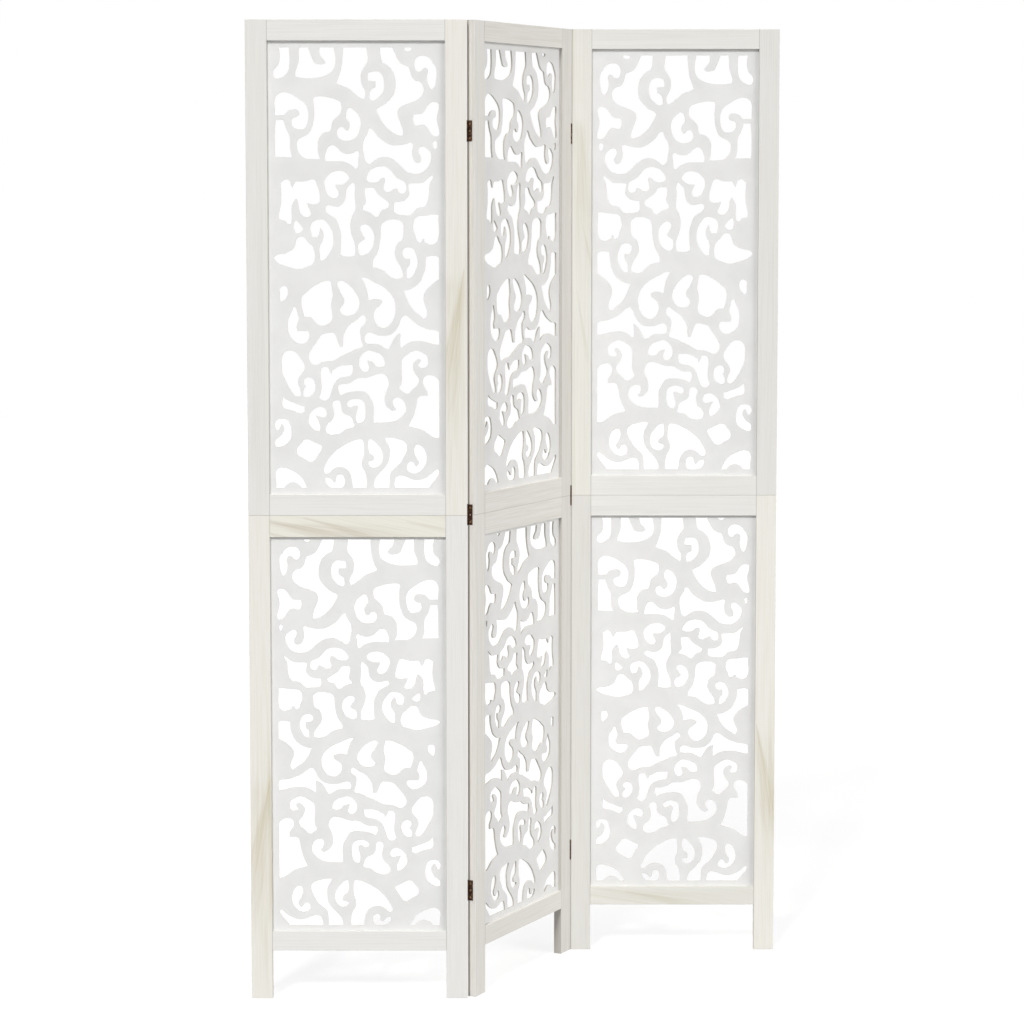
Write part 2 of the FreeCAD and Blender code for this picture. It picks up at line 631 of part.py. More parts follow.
def make_stile(leaf, frame_name, side):
    """One upright of a frame, with its panel groove, its dowel hole and the seats of its hinges."""
    levels = FRAMES[frame_name]
    label = "%s_%s_%s_stile" % (leaf.name, frame_name, leaf.side_word(side))
    body = new_body(label, leaf.placement)
    outer = "0 - " + HALF_LEAF if side < 0 else HALF_LEAF
    left = outer if side < 0 else outer + " - stile_width"
    blank = add_box(
        body, "Blank", (left, "0 - " + HALF_DEPTH, levels.bottom),
        ("stile_width", "leaf_thickness", levels.height),
    )
    ease_edges(body, blank)
    groove_left = left + " + stile_width - groove_depth" if side < 0 else left + " - cut_overrun"
    groove_foot = levels.rail_foot + " + tenon_shoulder"
    groove_height = "%s - tenon_shoulder - ( %s )" % (levels.top, groove_foot)
    add_box(
        body, "PanelGroove", (groove_left, GROOVE_FRONT, groove_foot),
        ("groove_depth + cut_overrun", GROOVE_WIDTH, groove_height),
        cut=True,
    )
    hole_depth = "dowel_length / 2 + dowel_end_gap"
    joint_foot = "lower_frame_height"
    if frame_name == "lower":
        hole_foot = "%s - ( %s )" % (joint_foot, hole_depth)
    else:
        hole_foot = "%s - cut_overrun" % joint_foot
    add_cylinder(
        body, "DowelHole", (left + " + stile_width / 2", "0", hole_foot),
        "dowel_radius + dowel_clearance", hole_depth + " + cut_overrun", cut=True,
    )
    if side in leaf.hinge_sides:
        let_in_hinges(body, frame_name, leaf, side, outer)
        bore_screw_holes(body, frame_name, leaf, side, outer)
    return body


def let_in_hinges(body, frame_name, leaf, side, outer):
    """Mortises for the hinge plates on one stile, and hollows round their knuckles."""
    face_sign = leaf.hinge_sides[side]
    left = outer + (" - cut_overrun" if side < 0 else " - plate_thickness")
    depth = "( plate_cover + mortise_clearance )"
    front = "%s - %s" % (HALF_DEPTH, depth) if face_sign > 0 else "0 - %s - cut_overrun" % HALF_DEPTH
    pin_across = "( %s + leaf_gap / 2 ) * %d" % (HALF_LEAF, side)
    pin_back = "( %s + pin_offset ) * %d" % (HALF_DEPTH, face_sign)
    half_mortise = "( hinge_height / 2 + mortise_clearance )"
    half_hollow = "( hinge_height / 2 + pin_head_height + knuckle_relief )"
    for hinge, middle in hinge_heights().items():
        if hinge == HINGE_OF_FRAME[frame_name] or hinge == "middle":
            add_box(
                body, "PlateMortise", (left, front, "%s - %s" % (middle, half_mortise)),
                ("plate_thickness + cut_overrun", depth + " + cut_overrun", "2 * " + half_mortise),
                cut=True,
            )
            add_cylinder(
                body, "KnuckleHollow", (pin_across, pin_back, "%s - %s" % (middle, half_hollow)),
                "knuckle_radius + knuckle_relief", "2 * " + half_hollow, cut=True,
            )


def bore_screw_holes(body, frame_name, leaf, side, outer):
    """Pilot holes for the hinge screws that bite into one stile."""
    face_sign = leaf.hinge_sides[side]
    across = "( %s - screw_inset ) * %d" % (HALF_DEPTH, face_sign)
    inward = FreeCAD.Vector(-side, 0, 0)
    foot = outer + (" - cut_overrun" if side < 0 else " + cut_overrun")
    reach = "screw_length + screw_clearance + cut_overrun"
    for hinge, step, bitten in hinge_screws():
        if bitten == frame_name:
            level = "%s + %d * screw_spacing" % (hinge_heights()[hinge], step)
            add_cylinder(
                body, "ScrewHole", (foot, across, level), "screw_shank_radius + screw_clearance", reach,
                axis=inward, cut=True,
            )


def make_rail(leaf, frame_name, end):
    """One cross rail of a frame, with a panel groove and a stub tenon at each end."""
    levels = FRAMES[frame_name]
    body = new_body("%s_%s_%s_rail" % (leaf.name, frame_name, end), leaf.placement)
    left = "0 - %s / 2" % OPENING_WIDTH
    if end == "top":
        foot = levels.opening_top
        height = levels.top_rail
        groove_foot = foot + " - cut_overrun"
        tenon_foot = foot + " + groove_depth"
    else:
        foot = levels.rail_foot
        height = levels.bottom_rail
        groove_foot = levels.opening_bottom + " - groove_depth"
        tenon_foot = foot + " + tenon_shoulder"
    blank = add_box(
        body, "Blank", (left, "0 - " + HALF_DEPTH, foot), (OPENING_WIDTH, "leaf_thickness", height)
    )
    ease_edges(body, blank, AXIS_X)
    tenon_length = "( groove_depth - tenon_end_gap )"
    tenon_span = "%s + 2 * %s" % (OPENING_WIDTH, tenon_length)
    tenon_height = height + " - groove_depth - tenon_shoulder"
    add_box(
        body, "StubTenons", ("%s - %s" % (left, tenon_length), GROOVE_FRONT, tenon_foot),
        (tenon_span, GROOVE_WIDTH, tenon_height),
    )
    add_box(
        body, "PanelGroove", (left + " - cut_overrun", GROOVE_FRONT, groove_foot),
        (OPENING_WIDTH + " + 2 * cut_overrun", GROOVE_WIDTH, "groove_depth + cut_overrun"), cut=True,
    )
    return body


class FretField:
    """The rectangle of a fret board that holds the pattern, in real sizes."""

    def __init__(self, left, top, width, height, mirrored, rows, inset):
        self.left = left
        self.top = top
        self.width = width
        self.height = height
        self.mirrored = mirrored
        self.rows = rows
        self.inset = inset
        self.depth = -size("fret_thickness") / 2

    def row(self, share):
        """Find where this board has one row of the pattern, between the two named rows around it."""
        for (above, above_place), (below, below_place) in zip(self.rows, self.rows[1:]):
            if share <= below:
                break
        return above_place + (share - above) * (below_place - above_place) / (below - above)

    def point(self, shares):
        """Place one point of the pattern."""
        across = shares[0] / THOUSANDTHS_IN_WHOLE
        down = self.row(shares[1]) / THOUSANDTHS_IN_WHOLE
        if self.mirrored:
            across = 1 - across
        return FreeCAD.Vector(self.left + across * self.width, self.depth, self.top - down * self.height)

    def drawn_in(self, outline):
        """Move an outline's points into the opening, square to the line between their neighbours."""
        befores = outline[-1:] + outline[:-1]
        afters = outline[1:] + outline[:1]
        doubled_area = sum(here.x * after.z - after.x * here.z for here, after in zip(outline, afters))
        inwards = self.inset if doubled_area > 0 else -self.inset
        moved = []
        for before, here, after in zip(befores, outline, afters):
            along = after - before
            moved.append(here + FreeCAD.Vector(-along.z, 0, along.x).normalize() * inwards)
        return moved

    def opening(self, ring):
        """Draw one opening as a closed wire."""
        outline = self.drawn_in([self.point(shares) for run in ring for shares in run])
        smooth_ring = len(ring) == 1
        edges = []
        first = 0
        for run in ring:
            after_last = first + len(run)
            points = outline[first:after_last]
            if not smooth_ring:
                points.append(outline[after_last % len(outline)])
            if len(points) == 2:
                edges.append(Part.LineSegment(points[0], points[1]).toShape())
            else:
                curve = Part.BSplineCurve()
                curve.interpolate(Points=points, PeriodicFlag=smooth_ring)
                edges.append(curve.toShape())
            first = after_last
        return Part.Wire(edges)


def solve(formula):
    """Work out a formula of aliases as a number."""
    return float(sheet.evalExpression(bound(formula)))


def make_fret(leaf, frame_name, mirrored):
    """One fret board: a thin sheet with the pattern cut through it, its edges in the grooves."""
    levels = FRAMES[frame_name]
    label = "%s_%s_fret" % (leaf.name, frame_name)
    opening_width = solve(OPENING_WIDTH)
    opening_bottom = solve(levels.opening_bottom)
    opening_top = solve(levels.opening_top)
    field_top = opening_top - size(levels.top_margin)
    field_bottom = opening_bottom + size(levels.bottom_margin)
    field_width = opening_width - 2 * size("fret_side_margin")
    field_height = field_top - field_bottom
    rows = FRET_ROW_SHARES[frame_name]
    inset = size("lower_fret_inset") if frame_name == "lower" else 0
    field = FretField(-field_width / 2, field_top, field_width, field_height, mirrored, rows, inset)
    tongue = size("groove_depth") - size("fret_edge_gap")
    board_left = -opening_width / 2 - tongue
    board_foot = opening_bottom - size("groove_depth")
    corners = (
        FreeCAD.Vector(board_left, field.depth, board_foot),
        FreeCAD.Vector(-board_left, field.depth, board_foot),
        FreeCAD.Vector(-board_left, field.depth, opening_top + tongue),
        FreeCAD.Vector(board_left, field.depth, opening_top + tongue),
    )
    wires = [Part.makePolygon(corners + corners[:1])]
    for ring in FRET_OPENING_SHARES.values():
        wires.append(field.opening(ring))
    profile = doc.addObject("Part::Feature", label + "_profile")
    profile.Shape = Part.makeFace(wires, "Part::FaceMakerBullseye")
    board = doc.addObject("Part::Extrusion", label)
    board.Label = label
    board.Base = profile
    board.DirMode = "Custom"
    board.Dir = AXIS_Y
    board.Solid = True
    bind(board, LengthFwd="fret_thickness")
    board.Placement = leaf.placement
    sub_parts.append(board)
    return board


def make_dowels(leaf):
    """The two dowels that hold the upper frame of a leaf on the lower one."""
    label = leaf.name + "_dowels"
    dowels = []
    for side in (-1, 1):
        dowel = doc.addObject("Part::Cylinder", "%s_dowel_%s" % (leaf.name, leaf.side_word(side)))
        bind(dowel, Radius="dowel_radius", Height="dowel_length")
        centre = "( %s - stile_width / 2 ) * %d" % (HALF_LEAF, side)
        bind_place(dowel, (centre, "0", "lower_frame_height - dowel_length / 2"))
        dowels.append(dowel)
    pair = doc.addObject("Part::Compound", label)
    pair.Label = label
    pair.Links = dowels
    pair.Placement = leaf.placement
    sub_parts.append(pair)
    return pair


def make_plate(label, placement, side, knuckles):
    """One hinge plate: a flat on the edge of a stile, with its knuckles round the pin.

    The pin's axis is the plate's origin. The leaf that carries the plate lies towards side along X,
    and the face of the leaf on the pin's side looks along Y.
    """
    body = new_body(label, placement)
    left = "0 - leaf_gap / 2 - plate_thickness" if side < 0 else "leaf_gap / 2"
    half_height = "hinge_height / 2"
    flat_end = "( knuckle_radius + knuckle_relief )"
    flat_width = "pin_offset + plate_cover - " + flat_end
    add_box(
        body, "Flat", (left, "0 - pin_offset - plate_cover", "0 - " + half_height),
        ("plate_thickness", flat_width, "hinge_height"),
    )
    wall_reach = "( pin_radius + ( knuckle_radius - pin_radius ) * %s )" % WEB_REACH_SHARE
    pitch = "hinge_height / %d" % KNUCKLE_COUNT
    for knuckle in knuckles:
        foot = "%d * %s - %s + knuckle_gap / 2" % (knuckle, pitch, half_height)
        length = pitch + " - knuckle_gap"
        add_box(
            body, "Web", (left, "0 - " + flat_end, foot),
            ("plate_thickness", "%s - %s" % (flat_end, wall_reach), length),
        )
        add_cylinder(body, "Knuckle", ("0", "0", foot), "knuckle_radius", length)
    add_cylinder(
        body, "PinBore", ("0", "0", "0 - %s - cut_overrun" % half_height), "pin_radius + pin_clearance",
        "hinge_height + 2 * cut_overrun", cut=True,
    )
    shown_face = "leaf_gap / 2 * %d" % side
    across = "0 - pin_offset - screw_inset"
    for step in (-1, 0, 1):
        sink = body.newObject("PartDesign::SubtractiveCone", "Countersink")
        sink.Placement = FreeCAD.Placement(
            FreeCAD.Vector(), FreeCAD.Rotation(AXIS_Z, FreeCAD.Vector(side, 0, 0))
        )
        bind_place(sink, (shown_face, across, "%d * screw_spacing" % step))
        bind(
            sink, Radius1="screw_head_radius + screw_clearance",
            Radius2="screw_shank_radius + screw_clearance", Height="plate_thickness",
        )
        doc.recompute()
    return body


def make_pin(label, placement):
    """One hinge pin with a tapered head at each end."""
    body = new_body(label, placement)
    half_height = "hinge_height / 2"
    add_cylinder(body, "Shank", ("0", "0", "0 - " + half_height), "pin_radius", "hinge_height")
    for end in (-1, 1):
        head = body.newObject("PartDesign::AdditiveCone", "Head")
        head.Placement = FreeCAD.Placement(
            FreeCAD.Vector(), FreeCAD.Rotation(AXIS_Z, FreeCAD.Vector(0, 0, end))
        )
        bind_place(head, ("0", "0", "%s * %d" % (half_height, end)))
        bind(head, Radius1="pin_head_radius", Radius2="pin_radius", Height="pin_head_height")
        doc.recompute()
    return body


def make_screw_model():
    """One countersunk hinge screw, from its head at the origin along Z to its point."""
    body = doc.addObject("PartDesign::Body", "screw_model")
    cone = body.newObject("PartDesign::AdditiveCone", "CountersunkHead")
    bind(cone, Radius1="screw_head_radius", Radius2="screw_shank_radius", Height="plate_thickness")
    doc.recompute()
    shank_end = "( screw_length - screw_point )"
    add_cylinder(
        body, "Shank", ("0", "0", "plate_thickness"), "screw_shank_radius", shank_end + " - plate_thickness"
    )
    point = body.newObject("PartDesign::AdditiveCone", "Point")
    bind_place(point, ("0", "0", shank_end))
    bind(point, Radius1="screw_shank_radius", Radius2="0", Height="screw_point")
    doc.recompute()
    add_box(
        body, "DriverSlot",
        ("0 - screw_slot_width / 2", "0 - screw_head_radius - cut_overrun", "0 - cut_overrun"),
        ("screw_slot_width", "2 * ( screw_head_radius + cut_overrun )", "screw_slot_depth + cut_overrun"),
        cut=True,
    )
    return body


def make_screws(label, placement, side, screw_model):
    """All screws that hold one column of plates, as separate solids of one group."""
    inward = FreeCAD.Rotation(AXIS_Z, FreeCAD.Vector(side, 0, 0))
    shown_face = side * size("leaf_gap") / 2
    across = -size("pin_offset") - size("screw_inset")
    solids = []
    for hinge, step, _ in hinge_screws():
        level = solve(hinge_heights()[hinge]) + step * size("screw_spacing")
        seat = FreeCAD.Placement(FreeCAD.Vector(shown_face, across, level), inward)
        screw = screw_model.Shape.copy()
        screw.Placement = seat
        solids.append(screw)
    group = doc.addObject("Part::Feature", label)
    group.Label = label
    group.Shape = Part.makeCompound(solids)
    group.Placement = placement
    sub_parts.append(group)
    return group


def upright_turn(angle):
    """A turn about the upright axis."""
    return FreeCAD.Rotation(AXIS_Z, angle)


def main():
    """Lay out the three leaves and the two hinged joints, and build every piece."""
    middle_turn = upright_turn(size("leaf_angle"))
    pin_across = (size("leaf_width") + size("leaf_gap")) / 2
    pin_back = size("leaf_thickness") / 2 + size("pin_offset")
    left_pin = middle_turn.multVec(FreeCAD.Vector(-pin_across, pin_back, 0))
    left_centre = left_pin - FreeCAD.Vector(pin_across, pin_back, 0)
    straight = upright_turn(0)
    half_round = FreeCAD.Placement(FreeCAD.Vector(), upright_turn(HALF_TURN))
    left_place = FreeCAD.Placement(left_centre, straight)
    back = 1
    front = -1
    leaves = (
        Leaf("left", left_place, {1: back}, False),
        Leaf("middle", FreeCAD.Placement(FreeCAD.Vector(), middle_turn), {-1: back, 1: front}, False),
        Leaf("right", half_round.multiply(left_place), {1: back}, True),
    )
    for leaf in leaves:
        for frame_name in FRAMES:
            for side in (-1, 1):
                make_stile(leaf, frame_name, side)
            for end in ("top", "bottom"):
                make_rail(leaf, frame_name, end)
            make_fret(leaf, frame_name, mirrored=frame_name == "lower")
        make_dowels(leaf)

    screw_model = make_screw_model()
    joints = (("left", FreeCAD.Placement()), ("right", half_round))
    for joint_name, joint_turn in joints:
        outer_place = joint_turn.multiply(FreeCAD.Placement(left_pin, straight))
        inner_place = joint_turn.multiply(FreeCAD.Placement(left_pin, middle_turn))
        for hinge, height in hinge_heights().items():
            raised = FreeCAD.Placement(FreeCAD.Vector(0, 0, solve(height)), straight)
            name = "%s_%s_hinge" % (joint_name, hinge)
            make_plate(name + "_outer_plate", raised.multiply(outer_place), -1, OUTER_KNUCKLES)
            make_plate(name + "_inner_plate", raised.multiply(inner_place), 1, INNER_KNUCKLES)
            make_pin(name + "_pin", raised.multiply(inner_place))
        make_screws(joint_name + "_hinge_outer_screws", outer_place, -1, screw_model)
        make_screws(joint_name + "_hinge_inner_screws", inner_place, 1, screw_model)


def check_and_write():
    """Stop on any failed object or bad shape, then write each sub-part to its own file."""
    doc.recompute()
    for thing in doc.Objects:
        if "Invalid" in thing.State or "Error" in thing.State:
            raise RuntimeError("failed object: %s %s" % (thing.Label, thing.State))
    for piece in sub_parts:
        if piece.Shape.isNull() or not piece.Shape.isValid():
            raise RuntimeError("bad shape: " + piece.Label)
    os.makedirs("parts", exist_ok=True)
    for piece in sub_parts:
        piece.Shape.exportStep("parts/%s.step" % piece.Label)
        print(piece.Label, len(piece.Shape.Solids), round(piece.Shape.Volume, 1))


main()
check_and_write()
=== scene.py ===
"""Looks of a three-leaf folding screen: whitewashed frames, painted fret boards and brown hinges.

The screen stands on a pale floor in soft studio light. Lengths are metres, in the frame of the
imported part: +Z is up, and the outer leaves look along -Y.
"""

import json
import logging
import math
from dataclasses import dataclass, field
from enum import Enum
from typing import Any, Optional, Union

import bpy
from mathutils import Euler, Matrix, Vector


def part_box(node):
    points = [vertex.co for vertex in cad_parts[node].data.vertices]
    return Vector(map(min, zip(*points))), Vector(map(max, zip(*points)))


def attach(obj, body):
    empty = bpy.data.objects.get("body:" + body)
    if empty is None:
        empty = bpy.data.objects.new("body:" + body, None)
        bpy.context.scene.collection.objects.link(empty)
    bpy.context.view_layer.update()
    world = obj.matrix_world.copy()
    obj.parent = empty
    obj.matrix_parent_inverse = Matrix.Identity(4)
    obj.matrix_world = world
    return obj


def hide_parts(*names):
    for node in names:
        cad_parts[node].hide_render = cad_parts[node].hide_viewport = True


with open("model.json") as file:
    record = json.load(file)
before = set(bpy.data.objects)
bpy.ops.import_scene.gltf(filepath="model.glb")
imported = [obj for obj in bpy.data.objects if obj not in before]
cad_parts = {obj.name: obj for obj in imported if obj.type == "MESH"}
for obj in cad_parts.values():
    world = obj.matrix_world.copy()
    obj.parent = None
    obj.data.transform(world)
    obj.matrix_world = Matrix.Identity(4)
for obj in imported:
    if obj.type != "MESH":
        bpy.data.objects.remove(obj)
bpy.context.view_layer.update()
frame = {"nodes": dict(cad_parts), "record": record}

log = logging.getLogger("folding_screen")

Colour = tuple[float, float, float]
Span = tuple[float, float]
OPAQUE = 1.0
MILLIMETRE = 0.001
EVEN: Colour = (1.0, 1.0, 1.0)
ORIGIN: Colour = (0.0, 0.0, 0.0)
LEAF_WIDTH = 400 * MILLIMETRE
LEAF_THICKNESS = 16 * MILLIMETRE
STILE_WIDTH = 39 * MILLIMETRE
FRAME_JOINT = 900 * MILLIMETRE


def paint(red: int, green: int, blue: int) -> Colour:
    """Turn a display colour into the linear values that shaders take.

    Args:
        red: Display value from 0 to 255.
        green: Display value from 0 to 255.
        blue: Display value from 0 to 255.

    Returns:
        The same colour as linear values from 0 to 1.
    """
    linear = []
    for channel in (red, green, blue):
        share = channel / 255
        linear.append(share / 12.92 if share <= 0.04045 else ((share + 0.055) / 1.055) ** 2.4)
    return tuple(linear)


class Number:
    """A socket that carries a number; each operator adds one Math node to its graph."""

    def __init__(self, graph: "Graph", socket: bpy.types.NodeSocket) -> None:
        """Wrap a socket of a graph."""
        self.graph = graph
        self.socket = socket

    def _math(self, operation: str, first: "Feed", second: "Feed") -> "Number":
        """Add a Math node on two values.

        Args:
            operation: The Math node's operation.
            first: Its first value or link.
            second: Its second value or link.

        Returns:
            The node's result.
        """
        node = self.graph.node("ShaderNodeMath", {"operation": operation}, {0: first, 1: second})
        return Number(self.graph, node.outputs[0])

    def __add__(self, other: "Feed") -> "Number":
        """Add a value."""
        return self._math("ADD", self, other)

    def __radd__(self, other: "Feed") -> "Number":
        """Add to a value."""
        return self._math("ADD", other, self)

    def __sub__(self, other: "Feed") -> "Number":
        """Take a value away."""
        return self._math("SUBTRACT", self, other)

    def __rsub__(self, other: "Feed") -> "Number":
        """Take away from a value."""
        return self._math("SUBTRACT", other, self)

    def __mul__(self, other: "Feed") -> "Number":
        """Multiply by a value."""
        return self._math("MULTIPLY", self, other)

    def __rmul__(self, other: "Feed") -> "Number":
        """Multiply a value."""
        return self._math("MULTIPLY", other, self)

    def __abs__(self) -> "Number":
        """Drop the sign."""
        return self._math("ABSOLUTE", self, 0.0)

    def larger(self, other: "Feed") -> "Number":
        """Take the larger of two values."""
        return self._math("MAXIMUM", self, other)


Feed = Union[Number, bpy.types.NodeSocket, float, Colour]


class Graph:
    """The node graph of one material or of the world."""

    def __init__(self, tree: bpy.types.NodeTree) -> None:
        """Start from an empty graph."""
        self.tree = tree
        self.tree.nodes.clear()

    def node(self, kind: str, settings: Optional[dict[str, Any]] = None,
             feeds: Optional[dict[Union[int, str], Feed]] = None) -> bpy.types.Node:
        """Add a node of any type.

        Args:
            kind: The node's type name.
            settings: Properties that are set first.
            feeds: Values or links of its input sockets, by name or number.

        Returns:
            The new node.
        """
        made = self.tree.nodes.new(kind)
        for name, setting in (settings or {}).items():
            setattr(made, name, setting)
        for key, feed in (feeds or {}).items():
            socket = made.inputs[key]
            if isinstance(feed, Number):
                self.tree.links.new(feed.socket, socket)
            elif isinstance(feed, bpy.types.NodeSocket):
                self.tree.links.new(feed, socket)
            elif socket.type == "RGBA":
                socket.default_value = (*feed, OPAQUE)
            else:
                socket.default_value = feed
        return made

    def mix(self, share: Feed, first: Feed, second: Feed) -> bpy.types.NodeSocket:
        """Blend two colours.

        Args:
            share: How much of the second colour shows.
            first: The colour at a share of 0.
            second: The colour at a share of 1.

        Returns:
            The blended colour.
        """
        blend = self.node("ShaderNodeMix", {"data_type": "RGBA"}, {0: share, 6: first, 7: second})
        return blend.outputs[2]

    def step(self, value: Feed, low: float, high: float) -> Number:
        """Rise smoothly from 0 to 1 between two values.

        Args:
            value: What is compared.
            low: Where the rise starts.
            high: Where the rise ends; below low for a fall.

        Returns:
            The smooth step.
        """
        ranged = self.node(
            "ShaderNodeMapRange", {"interpolation_type": "SMOOTHSTEP"},
            {"Value": value, "From Min": min(low, high), "From Max": max(low, high)},
        )
        result = Number(self, ranged.outputs[0])
        return result if low < high else 1.0 - result

    def noise(self, coords: Feed, detail: float, distortion: float = 0.0) -> Number:
        """Add a noise of unit scale.

        Args:
            coords: Coordinates, already scaled.
            detail: Octaves of finer noise.
            distortion: How far the noise is pulled about.

        Returns:
            The noise, about 0.5 on average.
        """
        made = self.node(
            "ShaderNodeTexNoise", {},
            {"Vector": coords, "Scale": 1.0, "Detail": detail, "Distortion": distortion},
        )
        return Number(self, made.outputs[0])

    def framed(self, place: Feed, turn: Euler, start: Vector) -> bpy.types.NodeSocket:
        """Measure a place from a start, along turned axes.

        Args:
            place: The place.
            turn: The turn that brings the new axes onto the old ones.
            start: Where the new axes start.

        Returns:
            The place on the new axes.
        """
        shift = start.copy()
        shift.rotate(turn)
        return self.placed(place, turn, EVEN, tuple(-shift))

    def scaled(self, coords: Feed, scale: Colour) -> bpy.types.NodeSocket:
        """Scale coordinates along each axis."""
        return self.placed(coords, Euler(), scale, ORIGIN)

    def placed(self, coords: Feed, turn: Euler, scale: Colour, shift: Colour) -> bpy.types.NodeSocket:
        """Turn, scale and shift coordinates with one Mapping node.

        Args:
            coords: The coordinates.
            turn: Rotation of the pattern.
            scale: Repeats per metre along each axis.
            shift: Where the pattern starts.

        Returns:
            The mapped coordinates.
        """
        mapped = self.node(
            "ShaderNodeMapping", {"vector_type": "POINT"},
            {"Vector": coords, "Rotation": turn, "Scale": scale, "Location": shift},
        )
        return mapped.outputs[0]


@dataclass(frozen=True)
class Swing:
    """A value that follows a pattern: its base, and how much the pattern adds."""

    base: float
    gain: float

    def over(self, pattern: Number) -> Number:
        """Add the pattern to the base."""
        return self.base + self.gain * pattern


@dataclass(frozen=True)
class Surface:
    """What a finish feeds to its shader."""

    colour: Feed
    roughness: Feed
    height: Number
    relief: float
    metallic: float = 0.0

    def shade(self, graph: Graph) -> None:
        """Close a graph with one shader and its bump.

        Args:
            graph: The material's graph.
        """
        bump = graph.node(
            "ShaderNodeBump", {}, {"Height": self.height, "Strength": 1.0, "Distance": self.relief}
        )
        shader = graph.node(
            "ShaderNodeBsdfPrincipled", {},
            {"Base Color": self.colour, "Roughness": self.roughness, "Metallic": self.metallic,
             "Normal": bump.outputs[0]},
        )
        graph.node("ShaderNodeOutputMaterial", {}, {"Surface": shader.outputs[0]})


def new_graph(name: str) -> tuple[bpy.types.Material, Graph]:
    """Start a material.

    Args:
        name: The material's name.

    Returns:
        The material and its empty graph.
    """
    material = bpy.data.materials.new(name)
    material.use_nodes = True
    return material, Graph(material.node_tree)


def dress(node_name: str, material: bpy.types.Material) -> None:
    """Give a solid of the part its finish.

    Args:
        node_name: The solid's name.
        material: The finish.
    """
    slots = frame["nodes"][node_name].data.materials
    slots.clear()
    slots.append(material)
    log.info("dressed %s", node_name)


class Tint(Enum):
    """Tones of the whitewash: the wash over the wood, its fibres, and the grain that shows through."""

    WHITE = (paint(232, 231, 228), paint(226, 225, 221), paint(214, 212, 204))
    GREY = (paint(229, 228, 224), paint(223, 222, 217), paint(210, 208, 201))
    ASH = (paint(225, 224, 220), paint(219, 218, 213), paint(207, 205, 198))
    STONE = (paint(218, 217, 212), paint(212, 210, 204), paint(202, 199, 190))
    WARM = (paint(230, 228, 223), paint(221, 218, 211), paint(207, 203, 192))
    # A darker copy of WARM: painted shade on the middle leaf's right stiles, in the V beside the right leaf.
    DUN = (paint(221, 219, 214), paint(213, 210, 204), paint(200, 196, 187))
    CREAM = (paint(234, 232, 225), paint(229, 226, 217), paint(193, 184, 153))
    SAND = (paint(225, 224, 217), paint(220, 218, 210), paint(188, 179, 150))
    TAN = (paint(234, 232, 222), paint(228, 225, 213), paint(186, 176, 154))

    @property
    def wash(self) -> Colour:
        """The wash where it covers best."""
        return self.value[0]

    @property
    def fibre(self) -> Colour:
        """The wash over the wood's fibres."""
        return self.value[1]

    @property
    def grain(self) -> Colour:
        """The grain that shows through."""
        return self.value[2]


class Run(Enum):
    """Which way the grain of a piece runs in its leaf."""

    UPRIGHT = "upright"
    ACROSS = "across"


@dataclass(frozen=True)
class LeafFrame:
    """Where a leaf stands: its turn about the upright axis, in degrees, its middle and its hinged corners."""

    turn: float
    middle: tuple[float, float]
    corners: tuple[tuple[float, float], ...]

    def turned(self, graph: Graph, direction: Feed) -> bpy.types.NodeSocket:
        """Turn a direction into the leaf, with X across its face."""
        return graph.placed(direction, Euler((0, 0, -math.radians(self.turn))), EVEN, ORIGIN)

    def coords(self, graph: Graph, place: Feed) -> bpy.types.NodeSocket:
        """Measure a place from the leaf's middle, with X across its face.

        Args:
            graph: The material's graph.
            place: The place on the screen.

        Returns:
            The place in the leaf.
        """
        return graph.framed(place, Euler((0, 0, -math.radians(self.turn))), Vector((*self.middle, 0.0)))


class Spread(Enum):
    """Forms of a fan of grain: its half width at the start, how fast it opens, and its soft edge."""

    FAN = (0.006, 0.10, 0.012)
    BROAD_FAN = (0.006, 0.12, 0.012)
    PATCH = (0.03, 0.0, 0.02)
    VEIL = (0.016, 0.05, 0.015)
    VEIN = (0.004, 0.05, 0.006)
    THREAD = (0.002, 0.03, 0.004)
    HAIR = (0.0025, 0.02, 0.004)


@dataclass(frozen=True)
class Flare:
    """A fan of darker grain that starts at a spot of the leaf and opens as it runs off at a slope."""

    across: float
    level: float
    heading: float
    length: float
    share: float = 0.45
    spread: Spread = Spread.FAN
    full_share: float = 0.25
    fibres_along: float = 9.0
    fibres_across: float = 300.0
    fibre_detail: float = 5.0
    fibre_pull: float = 0.5
    fibres_show: Span = (0.35, 0.75)
    depth: Swing = Swing(0.4, 0.8)

    def mask(self, graph: Graph, leaf: Feed) -> Number:
        """Draw the fan.

        Args:
            graph: The material's graph.
            leaf: The place in the leaf.

        Returns:
            How much of the grain shows.
        """
        narrow, opening, soft = self.spread.value
        start = Vector((self.across, 0.0, self.level))
        spot = graph.framed(leaf, Euler((0, math.radians(self.heading), 0)), start)
        parts = graph.node("ShaderNodeSeparateXYZ", {}, {0: spot}).outputs
        run = Number(graph, parts[0])
        inside = narrow + opening * run - abs(Number(graph, parts[2]))
        fading = graph.step(run, self.length, self.full_share * self.length)
        stretch = graph.step(run, -soft, soft) * fading
        scales = (self.fibres_along, self.fibres_across, self.fibres_across)
        fibres = graph.noise(graph.scaled(spot, scales), self.fibre_detail, self.fibre_pull)
        shown = self.depth.over(graph.step(fibres, *self.fibres_show))
        return graph.step(inside, 0.0, soft) * stretch * shown * self.share


